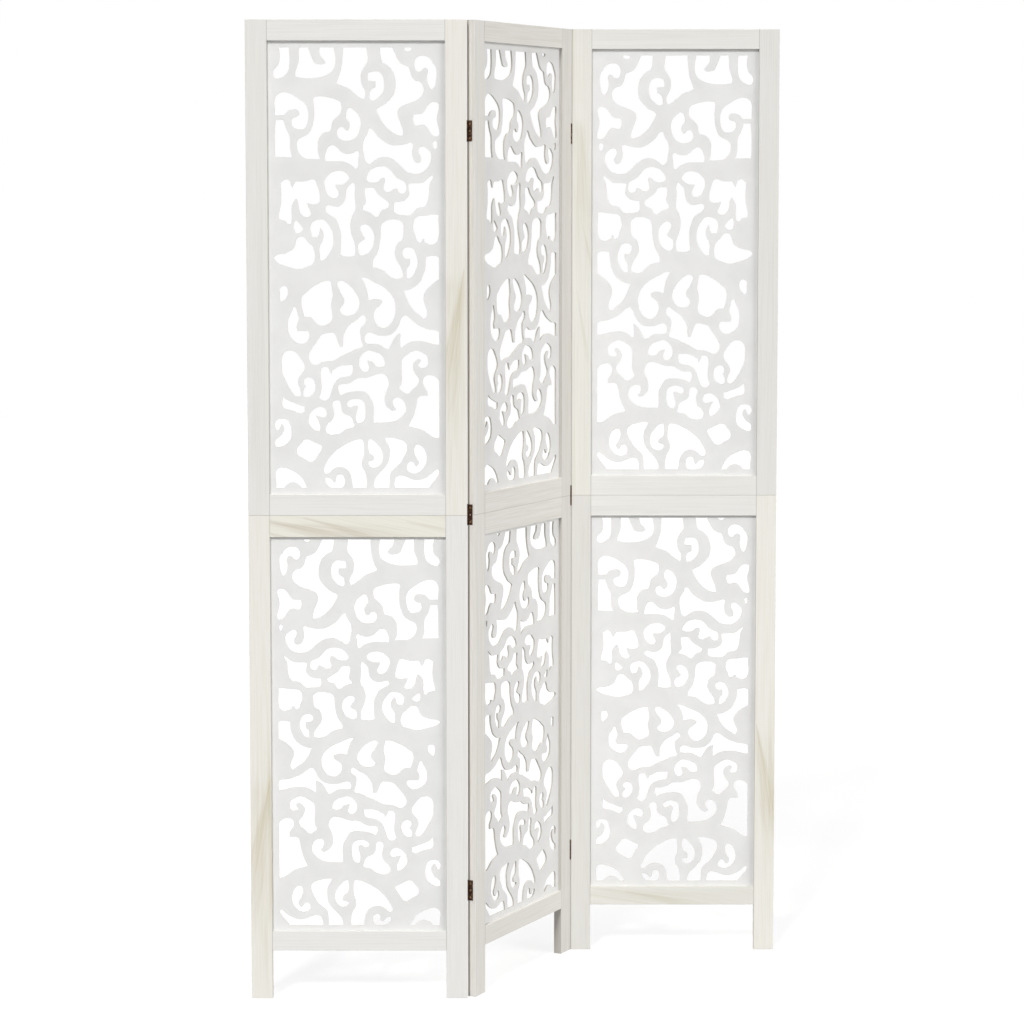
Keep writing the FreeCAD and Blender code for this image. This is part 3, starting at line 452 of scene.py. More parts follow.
@dataclass(frozen=True)
class Whitewash:
    """Thin white wash on pale wood, with the grain showing through in places, dark joint lines that are
    partly dirt and partly painted shade, and painted shade along the hinged corners.
    """

    tint: Tint = Tint.WHITE
    streaks: float = 0.25
    start: float = 0.0
    end: float = 1.0
    slant: float = 0.0
    flares: tuple[Flare, ...] = ()
    piece_step: Colour = (0.37, 0.11, 0.53)
    along_per_metre: float = 1.6
    figure_per_metre: float = 75.0
    figure_detail: float = 4.0
    figure_pull: float = 0.6
    figure_shows: Span = (0.5, 0.72)
    fibre_along_per_metre: float = 9.0
    fibre_per_metre: float = 520.0
    fibre_detail: float = 3.0
    fibre_shows: Span = (0.38, 0.72)
    cloud_per_metre: float = 4.0
    cloud_detail: float = 2.0
    streak_fibre: Swing = Swing(0.55, 0.9)
    streak_cloud: Swing = Swing(0.35, 1.2)
    wash_cloud: Swing = Swing(0.45, 0.9)
    roughness: Swing = Swing(0.52, 0.2)
    fibre_height: float = 0.7
    figure_height: float = 0.3
    relief: float = 0.12 * MILLIMETRE
    fade: float = 0.12
    end_faces: Span = (0.8, 0.95)
    end_fibre: Swing = Swing(0.35, 0.5)
    # Dark joint lines: dirt in the joints and painted shade in the creases between frames, stiles and rails.
    joint_dirt_and_shade: Colour = paint(164, 160, 150)
    joint_dirt_and_shade_share: float = 0.55
    joint_dirt_and_shade_half_width: float = 0.0009
    # Painted shade in the V beside each hinged corner: its colour, how much shows, and the width and depth of
    # the band.
    painted_gap_shade: Colour = paint(122, 114, 102)
    painted_gap_shade_share: float = 0.5
    painted_gap_shade_width: float = 0.0026
    painted_gap_shade_full_width: float = 0.5
    painted_gap_shade_depth: float = 0.0055
    painted_gap_shade_full_depth: float = 0.6
    frame_joint: float = FRAME_JOINT
    stile_edge: float = LEAF_WIDTH / 2 - STILE_WIDTH

    def scales(self, run: Run, along: float, across: float) -> Colour:
        """Stretch a pattern along the grain.

        Args:
            run: Which way the grain runs.
            along: Repeats per metre along the grain.
            across: Repeats per metre across the grain.

        Returns:
            Repeats per metre on the leaf's three axes.
        """
        return (across, across, along) if run is Run.UPRIGHT else (along, across, across)

    def material(self, node_name: str, run: Run, leaf_frame: LeafFrame, piece: int) -> bpy.types.Material:
        """Build the finish of one piece.

        Args:
            node_name: The solid that it is for.
            run: Which way the grain runs.
            leaf_frame: Where its leaf stands.
            piece: The piece's number, so that no two pieces share their grain.

        Returns:
            The material.
        """
        made, graph = new_graph("whitewash_" + node_name)
        coords = graph.node("ShaderNodeTexCoord")
        leaf = leaf_frame.coords(graph, coords.outputs["Object"])
        sloped = graph.placed(
            leaf, Euler((0, math.radians(self.slant), 0)), EVEN,
            tuple(step * piece for step in self.piece_step),
        )
        coarse = graph.scaled(sloped, self.scales(run, self.along_per_metre, self.figure_per_metre))
        fine = graph.scaled(sloped, self.scales(run, self.fibre_along_per_metre, self.fibre_per_metre))
        drifted = graph.placed(leaf, Euler(), (self.cloud_per_metre,) * 3, (piece, 0, 0))
        figure = graph.noise(coarse, self.figure_detail, self.figure_pull)
        fibre = graph.noise(fine, self.fibre_detail)
        cloud = graph.noise(drifted, self.cloud_detail)
        shown = graph.step(figure, *self.figure_shows) * self.streak_fibre.over(fibre) * self.streaks
        shown = shown * self.reach(graph, coords, node_name) * self.streak_cloud.over(cloud)
        covered = graph.step(fibre, *self.fibre_shows) * self.wash_cloud.over(cloud)
        wash = graph.mix(covered, self.tint.wash, self.tint.fibre)
        colour = graph.mix(shown, wash, self.tint.grain)
        for flare in self.flares:
            colour = graph.mix(flare.mask(graph, leaf), colour, self.tint.grain)
        if run is Run.UPRIGHT:
            colour = self.end_grain(graph, coords, fibre, colour)
        # Dark joint lines, partly dirt and partly painted shade of the creases.
        colour = graph.mix(self.joint_dirt_and_shade_lines(graph, leaf) * self.joint_dirt_and_shade_share, colour, self.joint_dirt_and_shade)
        # Painted shade along the hinged corners, where the next leaf shades the V.
        for corner in leaf_frame.corners:
            colour = graph.mix(self.painted_gap_shade_line(graph, leaf, corner) * self.painted_gap_shade_share, colour, self.painted_gap_shade)
        height = fibre * self.fibre_height + figure * self.figure_height
        Surface(colour, self.roughness.over(fibre), height, self.relief).shade(graph)
        return made

    def reach(self, graph: Graph, coords: bpy.types.Node, node_name: str) -> Number:
        """Limit the streaks to a stretch of the piece's height.

        Args:
            graph: The material's graph.
            coords: The graph's coordinates.
            node_name: The solid that the finish is for.

        Returns:
            1 inside the stretch, fading to 0 outside it.
        """
        low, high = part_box(node_name)
        height = high[2] - low[2]
        level = graph.node("ShaderNodeSeparateXYZ", {}, {0: coords.outputs["Object"]}).outputs[2]
        fade = self.fade * height
        foot = low[2] + self.start * height
        head = low[2] + self.end * height
        return graph.step(level, foot - fade, foot + fade) * graph.step(level, head + fade, head - fade)

    def joint_dirt_and_shade_lines(self, graph: Graph, leaf: Feed) -> Number:
        """Draw the thin dark lines where frames, stiles and rails meet: dirt in the joints and painted shade
        of their creases.

        Args:
            graph: The material's graph.
            leaf: The place in the leaf.

        Returns:
            1 on the lines, 0 away from them.
        """
        parts = graph.node("ShaderNodeSeparateXYZ", {}, {0: leaf}).outputs
        from_joint = abs(Number(graph, parts[2]) - self.frame_joint)
        from_stile = abs(abs(Number(graph, parts[0])) - self.stile_edge)
        between = graph.step(from_joint, self.joint_dirt_and_shade_half_width, 0.0)
        return between.larger(graph.step(from_stile, self.joint_dirt_and_shade_half_width, 0.0))

    def painted_gap_shade_line(self, graph: Graph, leaf: Feed, corner: tuple[float, float]) -> Number:
        """Draw the painted shade along a corner where the leaf is hinged to the next one, where that leaf
        shades the V between them.

        Args:
            graph: The material's graph.
            leaf: The place in the leaf.
            corner: Where the corner is, across the leaf and through it.

        Returns:
            1 on the line, 0 away from it.
        """
        parts = graph.node("ShaderNodeSeparateXYZ", {}, {0: leaf}).outputs
        beside = abs(Number(graph, parts[0]) - corner[0])
        behind = abs(Number(graph, parts[1]) - corner[1])
        near = graph.step(beside, self.painted_gap_shade_width, self.painted_gap_shade_full_width * self.painted_gap_shade_width)
        return near * graph.step(behind, self.painted_gap_shade_depth, self.painted_gap_shade_full_depth * self.painted_gap_shade_depth)

    def end_grain(self, graph: Graph, coords: bpy.types.Node, fibre: Number, colour: Feed) -> Feed:
        """Darken the sawn ends of an upright.

        Args:
            graph: The material's graph.
            coords: The graph's coordinates.
            fibre: The fibre noise.
            colour: The colour elsewhere.

        Returns:
            The colour with the ends in it.
        """
        facing = graph.node("ShaderNodeSeparateXYZ", {}, {0: coords.outputs["Normal"]}).outputs[2]
        sawn = graph.step(abs(Number(graph, facing)), *self.end_faces)
        return graph.mix(sawn * self.end_fibre.over(fibre), colour, self.tint.grain)


@dataclass(frozen=True)
class PaintedBoard:
    """Flat paint on a thin board, thinner and duller on its sawn edges."""

    face: Colour = paint(233, 233, 232)
    shade: Colour = paint(227, 227, 226)
    edge: Colour = paint(214, 211, 204)
    edge_core: Colour = paint(196, 190, 178)
    mottle_per_metre: float = 14.0
    mottle_detail: float = 4.0
    mottle_shows: Span = (0.35, 0.7)
    stipple_per_metre: float = 900.0
    stipple_detail: float = 2.0
    stipple_shows: Span = (0.4, 0.65)
    edge_faces: Span = (0.7, 0.4)
    roughness: Swing = Swing(0.5, 0.12)
    edge_roughness: float = 0.2
    edge_height: Swing = Swing(0.5, 0.5)
    relief: float = 0.06 * MILLIMETRE

    def material(self, node_name: str, leaf_frame: LeafFrame) -> bpy.types.Material:
        """Build the finish of one board.

        Args:
            node_name: The board that it is for.
            leaf_frame: Where its leaf stands.

        Returns:
            The material.
        """
        made, graph = new_graph("painted_" + node_name)
        coords = graph.node("ShaderNodeTexCoord")
        leaf = leaf_frame.coords(graph, coords.outputs["Object"])
        mottle = graph.noise(graph.scaled(leaf, (self.mottle_per_metre,) * 3), self.mottle_detail)
        stipple = graph.noise(graph.scaled(leaf, (self.stipple_per_metre,) * 3), self.stipple_detail)
        facing = leaf_frame.turned(graph, coords.outputs["Normal"])
        depth = graph.node("ShaderNodeSeparateXYZ", {}, {0: facing}).outputs[1]
        sawn = graph.step(abs(Number(graph, depth)), *self.edge_faces)
        flat = graph.mix(graph.step(mottle, *self.mottle_shows), self.face, self.shade)
        edges = graph.mix(graph.step(stipple, *self.stipple_shows), self.edge, self.edge_core)
        colour = graph.mix(sawn, flat, edges)
        rough = self.roughness.over(mottle) + self.edge_roughness * sawn
        Surface(colour, rough, stipple * self.edge_height.over(sawn), self.relief).shade(graph)
        return made


@dataclass(frozen=True)
class AgedMetal:
    """Metal with a dark brown coat, rubbed lighter in patches."""

    name: str
    coat: Colour
    rubbed: Colour
    metallic: float
    roughness: float
    patch_per_metre: float = 260.0
    patch_detail: float = 3.0
    patch_pull: float = 0.3
    patch_shows: Span = (0.42, 0.68)
    pit_per_metre: float = 2400.0
    pit_detail: float = 2.0
    pit_wear: Swing = Swing(0.6, 0.5)
    pit_roughness: float = 0.2
    worn_gloss: float = 0.12
    relief: float = 0.05 * MILLIMETRE

    def material(self) -> bpy.types.Material:
        """Build the finish."""
        made, graph = new_graph(self.name)
        coords = graph.node("ShaderNodeTexCoord")
        place = coords.outputs["Object"]
        patched = graph.scaled(place, (self.patch_per_metre,) * 3)
        patch = graph.noise(patched, self.patch_detail, self.patch_pull)
        pit = graph.noise(graph.scaled(place, (self.pit_per_metre,) * 3), self.pit_detail)
        worn = graph.step(patch, *self.patch_shows) * self.pit_wear.over(pit)
        colour = graph.mix(worn, self.coat, self.rubbed)
        rough = self.roughness + self.pit_roughness * pit - self.worn_gloss * worn
        Surface(colour, rough, pit, self.relief, self.metallic).shade(graph)
        return made


@dataclass(frozen=True)
class BareDowel:
    """Bare hardwood, fluted along its length by fine pores."""

    wood: Colour = paint(214, 190, 152)
    pore: Colour = paint(178, 146, 104)
    pores_per_metre: float = 900.0
    pores_along_per_metre: float = 30.0
    pore_detail: float = 3.0
    pores_show: Span = (0.4, 0.7)
    roughness: Swing = Swing(0.6, 0.2)
    relief: float = 0.1 * MILLIMETRE

    def material(self) -> bpy.types.Material:
        """Build the finish."""
        made, graph = new_graph("bare_dowel")
        coords = graph.node("ShaderNodeTexCoord")
        scales = (self.pores_per_metre, self.pores_per_metre, self.pores_along_per_metre)
        pores = graph.noise(graph.scaled(coords.outputs["Object"], scales), self.pore_detail)
        colour = graph.mix(graph.step(pores, *self.pores_show), self.wood, self.pore)
        Surface(colour, self.roughness.over(pores), pores, self.relief).shade(graph)
        return made


@dataclass
class Leaf:
    """One leaf of the screen: two stacked frames with their fret boards."""

    name: str
    turn: float
    first_piece: int
    corners: tuple[tuple[float, float], ...]
    wood: dict[str, Whitewash] = field(default_factory=dict)
    plain: Whitewash = Whitewash()
    board: PaintedBoard = PaintedBoard()
    dowel: BareDowel = BareDowel()

    def stands(self) -> LeafFrame:
        """Find where the leaf stands, from its upper board."""
        low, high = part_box(self.name + "_upper_fret")
        return LeafFrame(self.turn, ((low[0] + high[0]) / 2, (low[1] + high[1]) / 2), self.corners)

    def build(self) -> None:
        """Dress every piece of the leaf."""
        piece = self.first_piece
        leaf_frame = self.stands()
        for level in ("upper", "lower"):
            for member, run in (("left_stile", Run.UPRIGHT), ("right_stile", Run.UPRIGHT),
                                ("top_rail", Run.ACROSS), ("bottom_rail", Run.ACROSS)):
                node_name = "%s_%s_%s" % (self.name, level, member)
                look = self.wood.get("%s_%s" % (level, member), self.plain)
                dress(node_name, look.material(node_name, run, leaf_frame, piece))
                piece += 1
            fret = "%s_%s_fret" % (self.name, level)
            dress(fret, self.board.material(fret, leaf_frame))
        dress(self.name + "_dowels", self.dowel.material())


class Flange(Enum):
    """The two halves of a hinge: on the outer leaf, and on the middle leaf."""

    OUTER = -1
    INNER = 1

    @property
    def word(self) -> str:
        """The half's name in the names of its pieces."""
        return self.name.lower()


class ScrewTree:
    """A node tree that drives slotted screws into a set of seats."""

    LENGTHS = ("Head Radius", "Shank Radius", "Head Height", "Length", "Point", "Slot Width", "Slot Depth")
    HEAD_SIDES = 40
    SHANK_SIDES = 20
    SLOT_SPAN = 2.6
    SEED = 7

    def __init__(self) -> None:
        """Build the tree once, for all screws."""
        self.group = bpy.data.node_groups.new("slotted_screws", "GeometryNodeTree")
        sockets = self.group.interface
        sockets.new_socket("Seats", in_out="INPUT", socket_type="NodeSocketGeometry")
        for length in self.LENGTHS:
            sockets.new_socket(length, in_out="INPUT", socket_type="NodeSocketFloat")
        sockets.new_socket("Facing", in_out="INPUT", socket_type="NodeSocketVector")
        sockets.new_socket("Finish", in_out="INPUT", socket_type="NodeSocketMaterial")
        sockets.new_socket("Screws", in_out="OUTPUT", socket_type="NodeSocketGeometry")
        self.graph = Graph(self.group)
        self.given = self.graph.node("NodeGroupInput").outputs
        self._drive(self._screw())

    def length(self, name: str) -> Number:
        """Read one of the tree's lengths."""
        return Number(self.graph, self.given[name])

    def _raised(self, mesh: bpy.types.NodeSocket, height: Feed) -> bpy.types.NodeSocket:
        """Move a mesh along the screw.

        Args:
            mesh: The mesh.
            height: How far it moves.

        Returns:
            The moved mesh.
        """
        along = self.graph.node("ShaderNodeCombineXYZ", {}, {2: height})
        moved = self.graph.node(
            "GeometryNodeTransform", {}, {"Geometry": mesh, "Translation": along.outputs[0]}
        )
        return moved.outputs[0]

    def _screw(self) -> bpy.types.NodeSocket:
        """Build one screw along Z, with its head's face at the origin."""
        head_radius = self.length("Head Radius")
        shank_radius = self.length("Shank Radius")
        head_height = self.length("Head Height")
        shank_end = self.length("Length") - self.length("Point")
        shank_length = shank_end - head_height
        head = self.graph.node(
            "GeometryNodeMeshCone", {},
            {"Vertices": self.HEAD_SIDES, "Radius Top": shank_radius, "Radius Bottom": head_radius,
             "Depth": head_height},
        ).outputs[0]
        slot_size = self.graph.node(
            "ShaderNodeCombineXYZ", {},
            {0: self.length("Slot Width"), 1: head_radius * self.SLOT_SPAN,
             2: self.length("Slot Depth") * 2.0},
        )
        slot = self.graph.node("GeometryNodeMeshCube", {}, {"Size": slot_size.outputs[0]}).outputs[0]
        slotted = self.graph.node(
            "GeometryNodeMeshBoolean", {"operation": "DIFFERENCE", "solver": "EXACT"}, {0: head, 1: slot}
        ).outputs[0]
        shank = self.graph.node(
            "GeometryNodeMeshCylinder", {},
            {"Vertices": self.SHANK_SIDES, "Radius": shank_radius, "Depth": shank_length},
        ).outputs[0]
        point = self.graph.node(
            "GeometryNodeMeshCone", {},
            {"Vertices": self.SHANK_SIDES, "Radius Top": 0.0, "Radius Bottom": shank_radius,
             "Depth": self.length("Point")},
        ).outputs[0]
        joined = self.graph.node("GeometryNodeJoinGeometry")
        for mesh in (slotted, self._raised(shank, head_height + shank_length * 0.5),
                     self._raised(point, shank_end)):
            self.graph.tree.links.new(mesh, joined.inputs[0])
        return joined.outputs[0]

    def _drive(self, screw: bpy.types.NodeSocket) -> None:
        """Put a screw in every seat, each turned at random about its own axis.

        Args:
            screw: One screw.
        """
        points = self.graph.node("GeometryNodeMeshToPoints", {}, {"Mesh": self.given["Seats"]})
        facing = self.graph.node("FunctionNodeEulerToRotation", {}, {0: self.given["Facing"]})
        spin = self.graph.node(
            "FunctionNodeRandomValue", {"data_type": "FLOAT"}, {2: 0.0, 3: math.pi, "Seed": self.SEED}
        )
        about = self.graph.node("ShaderNodeCombineXYZ", {}, {2: spin.outputs[1]})
        twist = self.graph.node("FunctionNodeEulerToRotation", {}, {0: about.outputs[0]})
        turned = self.graph.node(
            "FunctionNodeRotateRotation", {"rotation_space": "LOCAL"},
            {0: facing.outputs[0], 1: twist.outputs[0]},
        )
        driven = self.graph.node(
            "GeometryNodeInstanceOnPoints", {},
            {"Points": points.outputs[0], "Instance": screw, "Rotation": turned.outputs[0]},
        )
        solid = self.graph.node("GeometryNodeRealizeInstances", {}, {"Geometry": driven.outputs[0]})
        dressed = self.graph.node(
            "GeometryNodeSetMaterial", {}, {"Geometry": solid.outputs[0], "Material": self.given["Finish"]}
        )
        self.graph.node("NodeGroupOutput", {}, {0: dressed.outputs[0]})

    def identifier(self, name: str) -> str:
        """Find the identifier of one of the tree's inputs."""
        return next(item.identifier for item in self.group.interface.items_tree
                    if item.name == name and item.in_out == "INPUT")


@dataclass
class HingedJoint:
    """One joint between two leaves: three butt hinges and their screws."""

    name: str
    pin: Vector
    turn: float
    leaf_angle: float
    metal: bpy.types.Material
    screw_metal: bpy.types.Material
    hinge_levels: tuple[float, ...] = (200 * MILLIMETRE, FRAME_JOINT, 1600 * MILLIMETRE)
    screw_spacing: float = 13 * MILLIMETRE
    leaf_gap: float = 0.3 * MILLIMETRE
    pin_offset: float = 0.3 * MILLIMETRE
    screw_inset: float = 5.5 * MILLIMETRE
    screw_sizes: dict[str, float] = field(default_factory=lambda: {
        "Head Radius": 2.0 * MILLIMETRE,
        "Shank Radius": 1.0 * MILLIMETRE,
        "Head Height": 0.8 * MILLIMETRE,
        "Length": 12.0 * MILLIMETRE,
        "Point": 2.0 * MILLIMETRE,
        "Slot Width": 0.5 * MILLIMETRE,
        "Slot Depth": 0.4 * MILLIMETRE,
    })

    def build(self, tree: ScrewTree) -> None:
        """Dress the hinges and drive their screws.

        Args:
            tree: The tree that makes the screws.
        """
        for level in ("top", "middle", "bottom"):
            for piece in ("outer_plate", "inner_plate", "pin"):
                dress("%s_%s_hinge_%s" % (self.name, level, piece), self.metal)
        self.drive(tree, Flange.OUTER, self.turn, self.name + "_panel")
        self.drive(tree, Flange.INNER, self.turn + self.leaf_angle, "middle_panel")

    def screw_levels(self) -> list[float]:
        """Find the heights of one half's screws; none goes into the joint between the frames."""
        levels = []
        for hinge in self.hinge_levels:
            for step in (-1, 0, 1):
                if step or hinge != FRAME_JOINT:
                    levels.append(hinge + step * self.screw_spacing)
        return levels

    def seats(self, flange: Flange, turn: float) -> bpy.types.Mesh:
        """Mark where the heads of one half's screws sit.

        Args:
            flange: Which half of the hinges.
            turn: The half's turn about the upright axis, in degrees.

        Returns:
            A mesh of loose points.
        """
        about = Matrix.Rotation(math.radians(turn), 3, "Z")
        spot = about @ Vector((flange.value * self.leaf_gap / 2, -self.pin_offset - self.screw_inset, 0))
        spots = [(self.pin.x + spot.x, self.pin.y + spot.y, level) for level in self.screw_levels()]
        mesh = bpy.data.meshes.new("%s_%s_screw_seats" % (self.name, flange.word))
        mesh.from_pydata(spots, [], [])
        return mesh

    def drive(self, tree: ScrewTree, flange: Flange, turn: float, body: str) -> None:
        """Make one half's screws as one plain mesh on its leaf.

        Args:
            tree: The tree that makes the screws.
            flange: Which half of the hinges.
            turn: The half's turn about the upright axis, in degrees.
            body: The leaf that the screws ride on.
        """
        node_name = "%s_hinge_%s_screws" % (self.name, flange.word)
        seated = bpy.data.objects.new("slotted_" + node_name, self.seats(flange, turn))
        bpy.context.scene.collection.objects.link(seated)
        modifier = seated.modifiers.new("screws", "NODES")
        modifier.node_group = tree.group
        for name, length in self.screw_sizes.items():
            modifier[tree.identifier(name)] = length
        inward = Vector((flange.value, 0, 0))
        inward.rotate(Euler((0, 0, math.radians(turn))))
        modifier[tree.identifier("Facing")] = tuple(inward.to_track_quat("Z", "Y").to_euler())
        modifier[tree.identifier("Finish")] = self.screw_metal
        graph = bpy.context.evaluated_depsgraph_get()
        plain = bpy.data.meshes.new_from_object(seated.evaluated_get(graph))
        seated.modifiers.remove(modifier)
        seated.data = plain
        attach(seated, body)
        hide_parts(node_name)
        log.info("made %s, %d faces", seated.name, len(plain.polygons))


@dataclass(frozen=True)
class DistantLamp:
    """A soft studio lamp, far enough away to light the floor evenly."""

    name: str
    azimuth: float
    elevation: float
    spread: float
    level: float
    colour: Colour = (1.0, 1.0, 1.0)

    def build(self) -> None:
        """Hang the lamp."""
        lamp = bpy.data.lights.new(self.name, "SUN")
        lamp.angle = math.radians(self.spread)
        lamp.energy = self.level * math.pi
        lamp.color = self.colour
        lifted = math.radians(self.elevation)
        round_about = math.radians(self.azimuth)
        away = Vector((math.sin(round_about) * math.cos(lifted), -math.cos(round_about) * math.cos(lifted),
                       math.sin(lifted)))
        hung = bpy.data.objects.new(self.name, lamp)
        hung.rotation_euler = away.to_track_quat("Z", "Y").to_euler()
        bpy.context.scene.collection.objects.link(hung)
        log.info("hung %s", self.name)


@dataclass
class Studio:
    """Floor, lamps, surroundings and camera."""

    lamps: tuple[DistantLamp, ...] = (
        DistantLamp("key_lamp", azimuth=-18.0, elevation=38.0, spread=10.0, level=0.575),
        DistantLamp("fill_lamp", azimuth=60.0, elevation=25.0, spread=40.0, level=0.50,
                    colour=(1.0, 0.985, 0.97)),
        DistantLamp("back_lamp", azimuth=195.0, elevation=30.0, spread=60.0, level=0.58),
    )
    ambience: float = 0.22
    floor_radius: float = 14.0
    floor_sides: int = 96
    floor_tone: Colour = (0.45, 0.45, 0.45)
    shown_floor_tone: Colour = (0.4, 0.4, 0.4)
    shown_floor_lift: float = 0.65
    white: Colour = (1.0, 1.0, 1.0)
    camera_spot: Colour = (-0.01624, -5.8277, 1.5118)
    camera_pitch: float = 4.9938
    camera_lens: float = 108.975
    camera_shift: float = -0.06

    def build(self) -> None:
        """Set up the studio."""
        for lamp in self.lamps:
            lamp.build()
        self.surround()
        self.lay_floor()
        self.place_camera()

    def seen(self, graph: Graph) -> Number:
        """Tell rays that show the background from rays that light the screen."""
        path = graph.node("ShaderNodeLightPath").outputs
        looks = Number(graph, path["Is Camera Ray"]).larger(path["Is Glossy Ray"])
        return looks.larger(path["Is Transmission Ray"])

    def surround(self) -> None:
        """Make the surroundings white to look at and dimmer as a light."""
        world = bpy.data.worlds.new("white_studio")
        world.use_nodes = True
        bpy.context.scene.world = world
        graph = Graph(world.node_tree)
        strength = self.ambience + (1.0 - self.ambience) * self.seen(graph)
        light = graph.node("ShaderNodeBackground", {}, {"Color": self.white, "Strength": strength})
        graph.node("ShaderNodeOutputWorld", {}, {"Surface": light.outputs[0]})

    def lay_floor(self) -> None:
        """Lay a round pale floor that keeps the screen's shadow."""
        corners = []
        for corner in range(self.floor_sides):
            angle = 2 * math.pi * corner / self.floor_sides
            corners.append((self.floor_radius * math.cos(angle), self.floor_radius * math.sin(angle), 0.0))
        mesh = bpy.data.meshes.new("pale_floor")
        mesh.from_pydata(corners, [], [tuple(range(self.floor_sides))])
        material, graph = new_graph("pale_floor")
        lighting = graph.node("ShaderNodeBsdfDiffuse", {}, {"Color": self.floor_tone})
        shown = graph.node("ShaderNodeBsdfDiffuse", {}, {"Color": self.shown_floor_tone})
        lift = graph.node("ShaderNodeEmission", {}, {"Color": self.white, "Strength": self.shown_floor_lift})
        lifted = graph.node("ShaderNodeAddShader", {}, {0: shown.outputs[0], 1: lift.outputs[0]})
        both = graph.node(
            "ShaderNodeMixShader", {}, {0: self.seen(graph), 1: lighting.outputs[0], 2: lifted.outputs[0]}
        )
        graph.node("ShaderNodeOutputMaterial", {}, {"Surface": both.outputs[0]})
        mesh.materials.append(material)
        floor = bpy.data.objects.new("pale_floor", mesh)
        bpy.context.scene.collection.objects.link(floor)
        log.info("laid the floor")

    def place_camera(self) -> None:
        """Set the camera near the photograph's viewpoint, with less of its vertical shift."""
        lens = bpy.data.cameras.new("studio_camera")
        lens.lens = self.camera_lens
        lens.shift_y = self.camera_shift
        lens.dof.use_dof = False
        camera = bpy.data.objects.new("studio_camera", lens)
        camera.location = self.camera_spot
        camera.rotation_euler = Euler((math.radians(90.0 - self.camera_pitch), 0, 0))
        bpy.context.scene.collection.objects.link(camera)
        bpy.context.scene.camera = camera
        log.info("placed the camera")


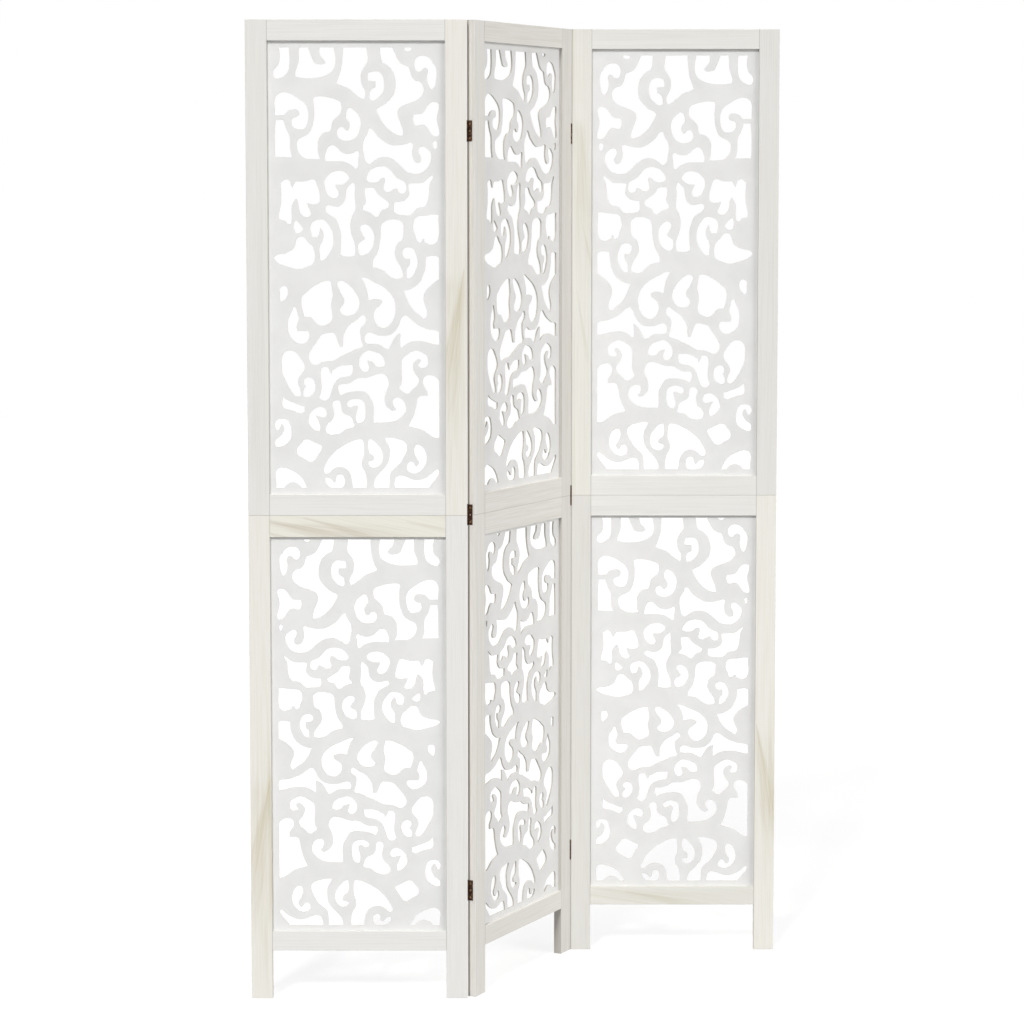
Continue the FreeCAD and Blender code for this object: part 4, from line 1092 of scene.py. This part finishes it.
class FoldingScreen:
    """The whole screen: three leaves and two hinged joints."""

    LEAF_ANGLE = 63.0
    HALF_TURN = 180.0
    PIECES_PER_LEAF = 8
    HINGED_BACK = (LEAF_WIDTH / 2, LEAF_THICKNESS / 2)
    HINGED_FRONT = (LEAF_WIDTH / 2, -LEAF_THICKNESS / 2)
    HINGED_BACK_LEFT = (-LEAF_WIDTH / 2, LEAF_THICKNESS / 2)
    HINGED_FRONT_LEFT = (-LEAF_WIDTH / 2, -LEAF_THICKNESS / 2)
    GREY = Whitewash(Tint.GREY)
    ASH = Whitewash(Tint.ASH)
    STONE = Whitewash(Tint.STONE)
    WARM = Whitewash(Tint.WARM, streaks=0.3)
    # A darker copy of WARM: painted shade of the V beside the right leaf.
    DUN = Whitewash(Tint.DUN, streaks=0.3)
    STREAKED = Whitewash(Tint.WARM, streaks=0.8, end=0.55)
    FLARED_HIGH = Whitewash(Tint.CREAM, streaks=0.45, end=0.55, flares=(
        Flare(0.180, 1.330, heading=-90.0, length=0.40, share=0.26, spread=Spread.PATCH),
        Flare(0.194, 1.345, heading=-98.0, length=0.36),
        Flare(0.195, 1.350, heading=-99.0, length=0.14, share=0.5, spread=Spread.HAIR),
    ))
    FLARED_FOOT = Whitewash(Tint.CREAM, streaks=0.45, end=0.55, flares=(
        Flare(-0.180, 0.400, heading=-90.0, length=0.42, share=0.20, spread=Spread.PATCH),
        Flare(-0.163, 0.420, heading=-99.0, length=0.36),
        Flare(-0.163, 0.410, heading=-101.0, length=0.16, share=0.5, spread=Spread.HAIR),
    ))
    FLARED_RIGHT = Whitewash(Tint.CREAM, streaks=0.45, end=0.55, flares=(
        Flare(0.180, 0.430, heading=-90.0, length=0.34, share=0.14, spread=Spread.PATCH),
        Flare(0.164, 0.445, heading=-81.0, length=0.34),
        Flare(0.163, 0.450, heading=-79.0, length=0.14, share=0.5, spread=Spread.HAIR),
    ))
    FAINT = Whitewash(Tint.SAND, streaks=0.3, flares=(
        Flare(-0.185, 1.620, heading=-87.0, length=0.36, share=0.32, spread=Spread.VEIL),
        Flare(-0.1785, 1.425, heading=-77.5, length=0.11, share=0.55, spread=Spread.THREAD),
        Flare(-0.1895, 1.300, heading=-81.0, length=0.17, share=0.4, spread=Spread.THREAD),
    ))
    TAN_RAIL = Whitewash(Tint.TAN, streaks=0.35, slant=-12.0, flares=(
        Flare(-0.160, 0.885, heading=-8.0, length=0.32, share=0.35, spread=Spread.BROAD_FAN),
        Flare(-0.100, 0.896, heading=-16.0, length=0.22, share=0.5, spread=Spread.VEIN),
        Flare(0.090, 0.888, heading=-13.0, length=0.12, share=0.3, spread=Spread.VEIN),
    ))
    SAND_RAIL = Whitewash(Tint.SAND, streaks=0.25, slant=-9.0, flares=(
        Flare(-0.150, 0.118, heading=-6.0, length=0.34, share=0.22),
        Flare(-0.090, 0.115, heading=-11.0, length=0.20, share=0.35, spread=Spread.VEIN),
    ))
    DULLER_BOARD = PaintedBoard(face=paint(230, 230, 229), shade=paint(224, 224, 223))
    HINGE_METAL = AgedMetal(
        "antique_brown", coat=paint(66, 43, 30), rubbed=paint(128, 99, 78), metallic=0.55, roughness=0.42
    )
    SCREW_METAL = AgedMetal(
        "antique_brass", coat=paint(150, 126, 98), rubbed=paint(196, 172, 140), metallic=0.8, roughness=0.36
    )

    def __init__(self) -> None:
        """Lay out the leaves and the joints."""
        left_wood = {
            "upper_left_stile": self.GREY,
            "upper_right_stile": self.FLARED_HIGH,
            "lower_left_stile": self.FLARED_FOOT,
            "lower_top_rail": self.TAN_RAIL,
        }
        middle_wood = {
            "lower_left_stile": self.STREAKED,
            # The right stiles are darkened with painted shade of the V beside the right leaf.
            "upper_right_stile": self.DUN,
            "lower_right_stile": self.DUN,
        }
        right_wood = {
            "upper_left_stile": self.FAINT,
            "upper_right_stile": self.ASH,
            "lower_left_stile": self.STONE,
            "lower_right_stile": self.FLARED_RIGHT,
            "lower_bottom_rail": self.SAND_RAIL,
        }
        middle_first = 1 + self.PIECES_PER_LEAF
        right_first = middle_first + self.PIECES_PER_LEAF
        middle_corners = (self.HINGED_BACK_LEFT, self.HINGED_FRONT)
        self.leaves = (
            Leaf("left", 0.0, 1, (self.HINGED_BACK,), left_wood),
            Leaf("middle", self.LEAF_ANGLE, middle_first, middle_corners, middle_wood, self.WARM),
            Leaf("right", 0.0, right_first, (self.HINGED_FRONT_LEFT,), right_wood, self.GREY,
                 self.DULLER_BOARD),
        )
        metals = (self.HINGE_METAL.material(), self.SCREW_METAL.material())
        pins = {joint["name"]: Vector(joint["pos_m"]) for joint in frame["record"]["behaviour"]["joints"]}
        self.joints = (
            HingedJoint("left", pins["left_fold"], 0.0, self.LEAF_ANGLE, *metals),
            HingedJoint("right", pins["right_fold"], self.HALF_TURN, self.LEAF_ANGLE, *metals),
        )

    def build(self) -> None:
        """Dress the leaves and fit the joints."""
        for leaf in self.leaves:
            leaf.build()
        tree = ScrewTree()
        for joint in self.joints:
            joint.build(tree)


def main() -> None:
    """Build the screen and its studio."""
    logging.basicConfig(level=logging.INFO)
    bpy.context.scene.view_settings.view_transform = "Standard"
    FoldingScreen().build()
    Studio().build()


if __name__ == "__main__":
    main()
